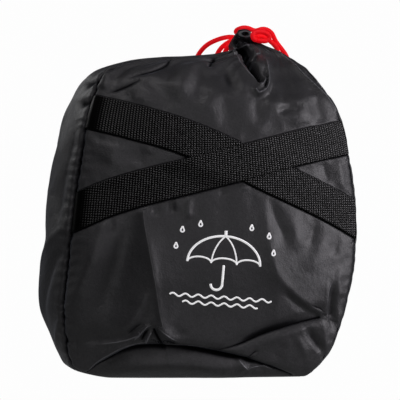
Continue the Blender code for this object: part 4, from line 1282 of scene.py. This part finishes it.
def red_braid():
    """The bright red of the cord, with a fine slanting fibre and a faint painted glow that lights its shaded
    side.
    """
    material = bpy.data.materials.new("red_braid")
    nodes = Nodes(material)
    along, across, _ = nodes.kept("cloth")
    slant = nodes.threads(nodes.apply("ADD", along, across), 0.00035)
    fibres = nodes.apply("ADD", slant, nodes.noise(1200.0))
    nodes.finish(
        Base_Color=nodes.ramp(nodes.noise(400.0), (0.3, (0.86, 0.0, 0.006)), (0.75, (1.0, 0.003, 0.014))),
        Roughness=0.6, Specular_IOR_Level=0.25, Normal=nodes.bumps((fibres, 0.00005, 0.6)),
        Subsurface_Weight=0.5, Subsurface_Scale=0.0015, Subsurface_Radius=(1.0, 0.1, 0.1),
        # A painted red glow: the cord gives off light though it is no lamp.
        Emission_Strength=0.3, Emission_Color=(1.0, 0.005, 0.012, 1),
    )
    return material


def white_ink():
    material = bpy.data.materials.new("white_ink")
    nodes = Nodes(material)
    nodes.finish(
        Base_Color=nodes.ramp(nodes.noise(700.0, 4.0), (0.3, (0.92, 0.92, 0.93)), (0.7, grey(1.0))),
        Roughness=0.6, Normal=nodes.bumps((nodes.noise(1600.0, 2.0), 0.00004, 0.5)),
        # A painted glow keeps the ink white where it lies in shade.
        Emission_Strength=0.35, Emission_Color=(1, 1, 1, 1),
    )
    return material


# ---------------------------------------------------------------- the studio

CAMERA_AZIMUTH = math.radians(-12)
CAMERA_ELEVATION = math.radians(-0.5)
CAMERA_DISTANCE = 1.6
CAMERA_TARGET = Vector((0, 0, 0.1307))
CAMERA_FAR = 20.0  # the end of what it sees
LENS = 191.7

# Each softbox: its place, the point that it is turned to, its size, its power in watts and its colour.
LIGHTS = {
    "right_softbox": ((1.35, -0.6, 0.5), (0, 0, 0.13), (0.4, 0.6), 12.8, (0.98, 0.94, 1.0)),
    "top_softbox": ((-0.35, -0.6, 1.2), (0, 0, 0.15), (0.6, 0.35), 3.5, (1.0, 0.97, 1.0)),
    "front_softbox": ((-0.35, -1.4, 0.25), (0, 0, 0.13), (0.5, 0.4), 2.1, (0.98, 0.97, 1.0)),
    "left_fill": ((-1.3, 0.35, 0.5), (0, 0, 0.13), (0.4, 0.9), 0.7, (1.0, 1.0, 1.0)),
    "rim_softbox": ((-0.75, 1.1, 0.85), (-0.1, 0, 0.18), (0.3, 0.4), 2.4, (1.0, 1.0, 1.0)),
    "back_softbox": ((0.33, 1.5, 0.3), (0, 0, 0.13), (0.5, 0.5), 5.0, (1.0, 0.98, 1.0)),
}
GROUND = (0.985, 0.985, 0.985, 1)  # what the camera sees of the floor and of what is behind it
WORLD_LIGHT = 0.04
FLOOR_LIGHT = (0.1, 0.4, 0.22, 0.03)  # distances from the middle, near and far, and the floor's light at both
FLOOR_HALF = 6.0
FLOOR_HEIGHT = -0.0005


def turn_away(made, away):
    """Turns a camera or a light so that its back is to this direction."""
    made.rotation_euler = away.to_track_quat("Z", "Y").to_euler()


def make_camera():
    camera = bpy.data.cameras.new("camera")
    camera.lens = LENS
    camera.clip_end = CAMERA_FAR
    made = in_scene("camera", camera)
    away = Vector((
        math.sin(CAMERA_AZIMUTH) * math.cos(CAMERA_ELEVATION),
        -math.cos(CAMERA_AZIMUTH) * math.cos(CAMERA_ELEVATION),
        math.sin(CAMERA_ELEVATION),
    ))
    made.location = CAMERA_TARGET + away * CAMERA_DISTANCE
    turn_away(made, away)
    bpy.context.scene.camera = made


def make_lights():
    for name, (place, aim, size, power, colour) in LIGHTS.items():
        light = bpy.data.lights.new(name, "AREA")
        light.shape = "RECTANGLE"
        light.size, light.size_y = size
        light.energy = power
        light.color = colour
        made = in_scene(name, light)
        made.location = place
        turn_away(made, Vector(place) - Vector(aim))


def show_to_camera(nodes, seen, lit, end):
    """Shows one shader to the camera, and gives the light of another one to everything else."""
    camera = nodes.add("ShaderNodeLightPath").outputs["Is Camera Ray"]
    mix = nodes.add("ShaderNodeMixShader", camera, lit.outputs[0], seen.outputs[0])
    nodes.fill(end, Surface=mix.outputs[0])


def make_world():
    """A white ground for the camera, and a dimmer white for the light that falls on the cloth."""
    world = bpy.data.worlds.new("studio")
    bpy.context.scene.world = world
    nodes = Nodes(world)
    lit = nodes.tree.nodes["Background"]
    nodes.fill(lit, Color=(1, 1, 1, 1), Strength=WORLD_LIGHT)
    seen = nodes.add("ShaderNodeBackground", Color=GROUND)
    show_to_camera(nodes, seen, lit, nodes.tree.nodes["World Output"])


def make_floor():
    """A pale floor that glows enough to be as white as the ground behind it."""
    material = bpy.data.materials.new("pale_floor")
    nodes = Nodes(material)
    nodes.tree.nodes.clear()
    reach = nodes.add("ShaderNodeVectorMath", nodes.add("ShaderNodeTexCoord").outputs["Object"])
    reach.operation = "LENGTH"
    light = nodes.add("ShaderNodeMapRange", reach.outputs["Value"], *FLOOR_LIGHT)
    lit = nodes.add("ShaderNodeEmission", Strength=light.outputs[0])
    seen = nodes.add("ShaderNodeEmission", Color=GROUND, Strength=1.0)
    show_to_camera(nodes, seen, lit, nodes.add("ShaderNodeOutputMaterial"))
    signs = ((-1, -1), (1, -1), (1, 1), (-1, 1))
    mesh = bpy.data.meshes.new("floor")
    mesh.from_pydata([(x * FLOOR_HALF, y * FLOOR_HALF, FLOOR_HEIGHT) for x, y in signs], [], [(0, 1, 2, 3)])
    mesh.materials.append(material)
    in_scene("floor", mesh)


# ---------------------------------------------------------------- putting it together

CORD_ENDS = {
    "cord_right": ("object", "loose"),
    "cord_left_loop": ("object", "loose"),
    "cord_left_tail": ("bare", "hanging"),
}

bpy.context.scene.view_settings.view_transform = "Standard"
cloth_finish, webbing_finish, cord_finish, ink_finish = taffeta(), webbing(), red_braid(), white_ink()

make_camera()
make_world()
make_floor()
make_lights()

bag = make_bag(cloth_finish)
bag_tree, stretched_over = tree_of(bag), plain_tree()
made_print = make_print(bag_tree, ink_finish)

for piece, node, finish in [
    (bag, "bag", "bag_cloth"),
    *((make_strap(name, stretched_over, webbing_finish), name, "webbing") for name in STRAPS),
    *((make_cord(name, bag_tree, cord_finish, *CORD_ENDS[name]), name, "cord") for name in CORDS),
]:
    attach(piece, "root")
    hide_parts(node)
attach(made_print, "root")
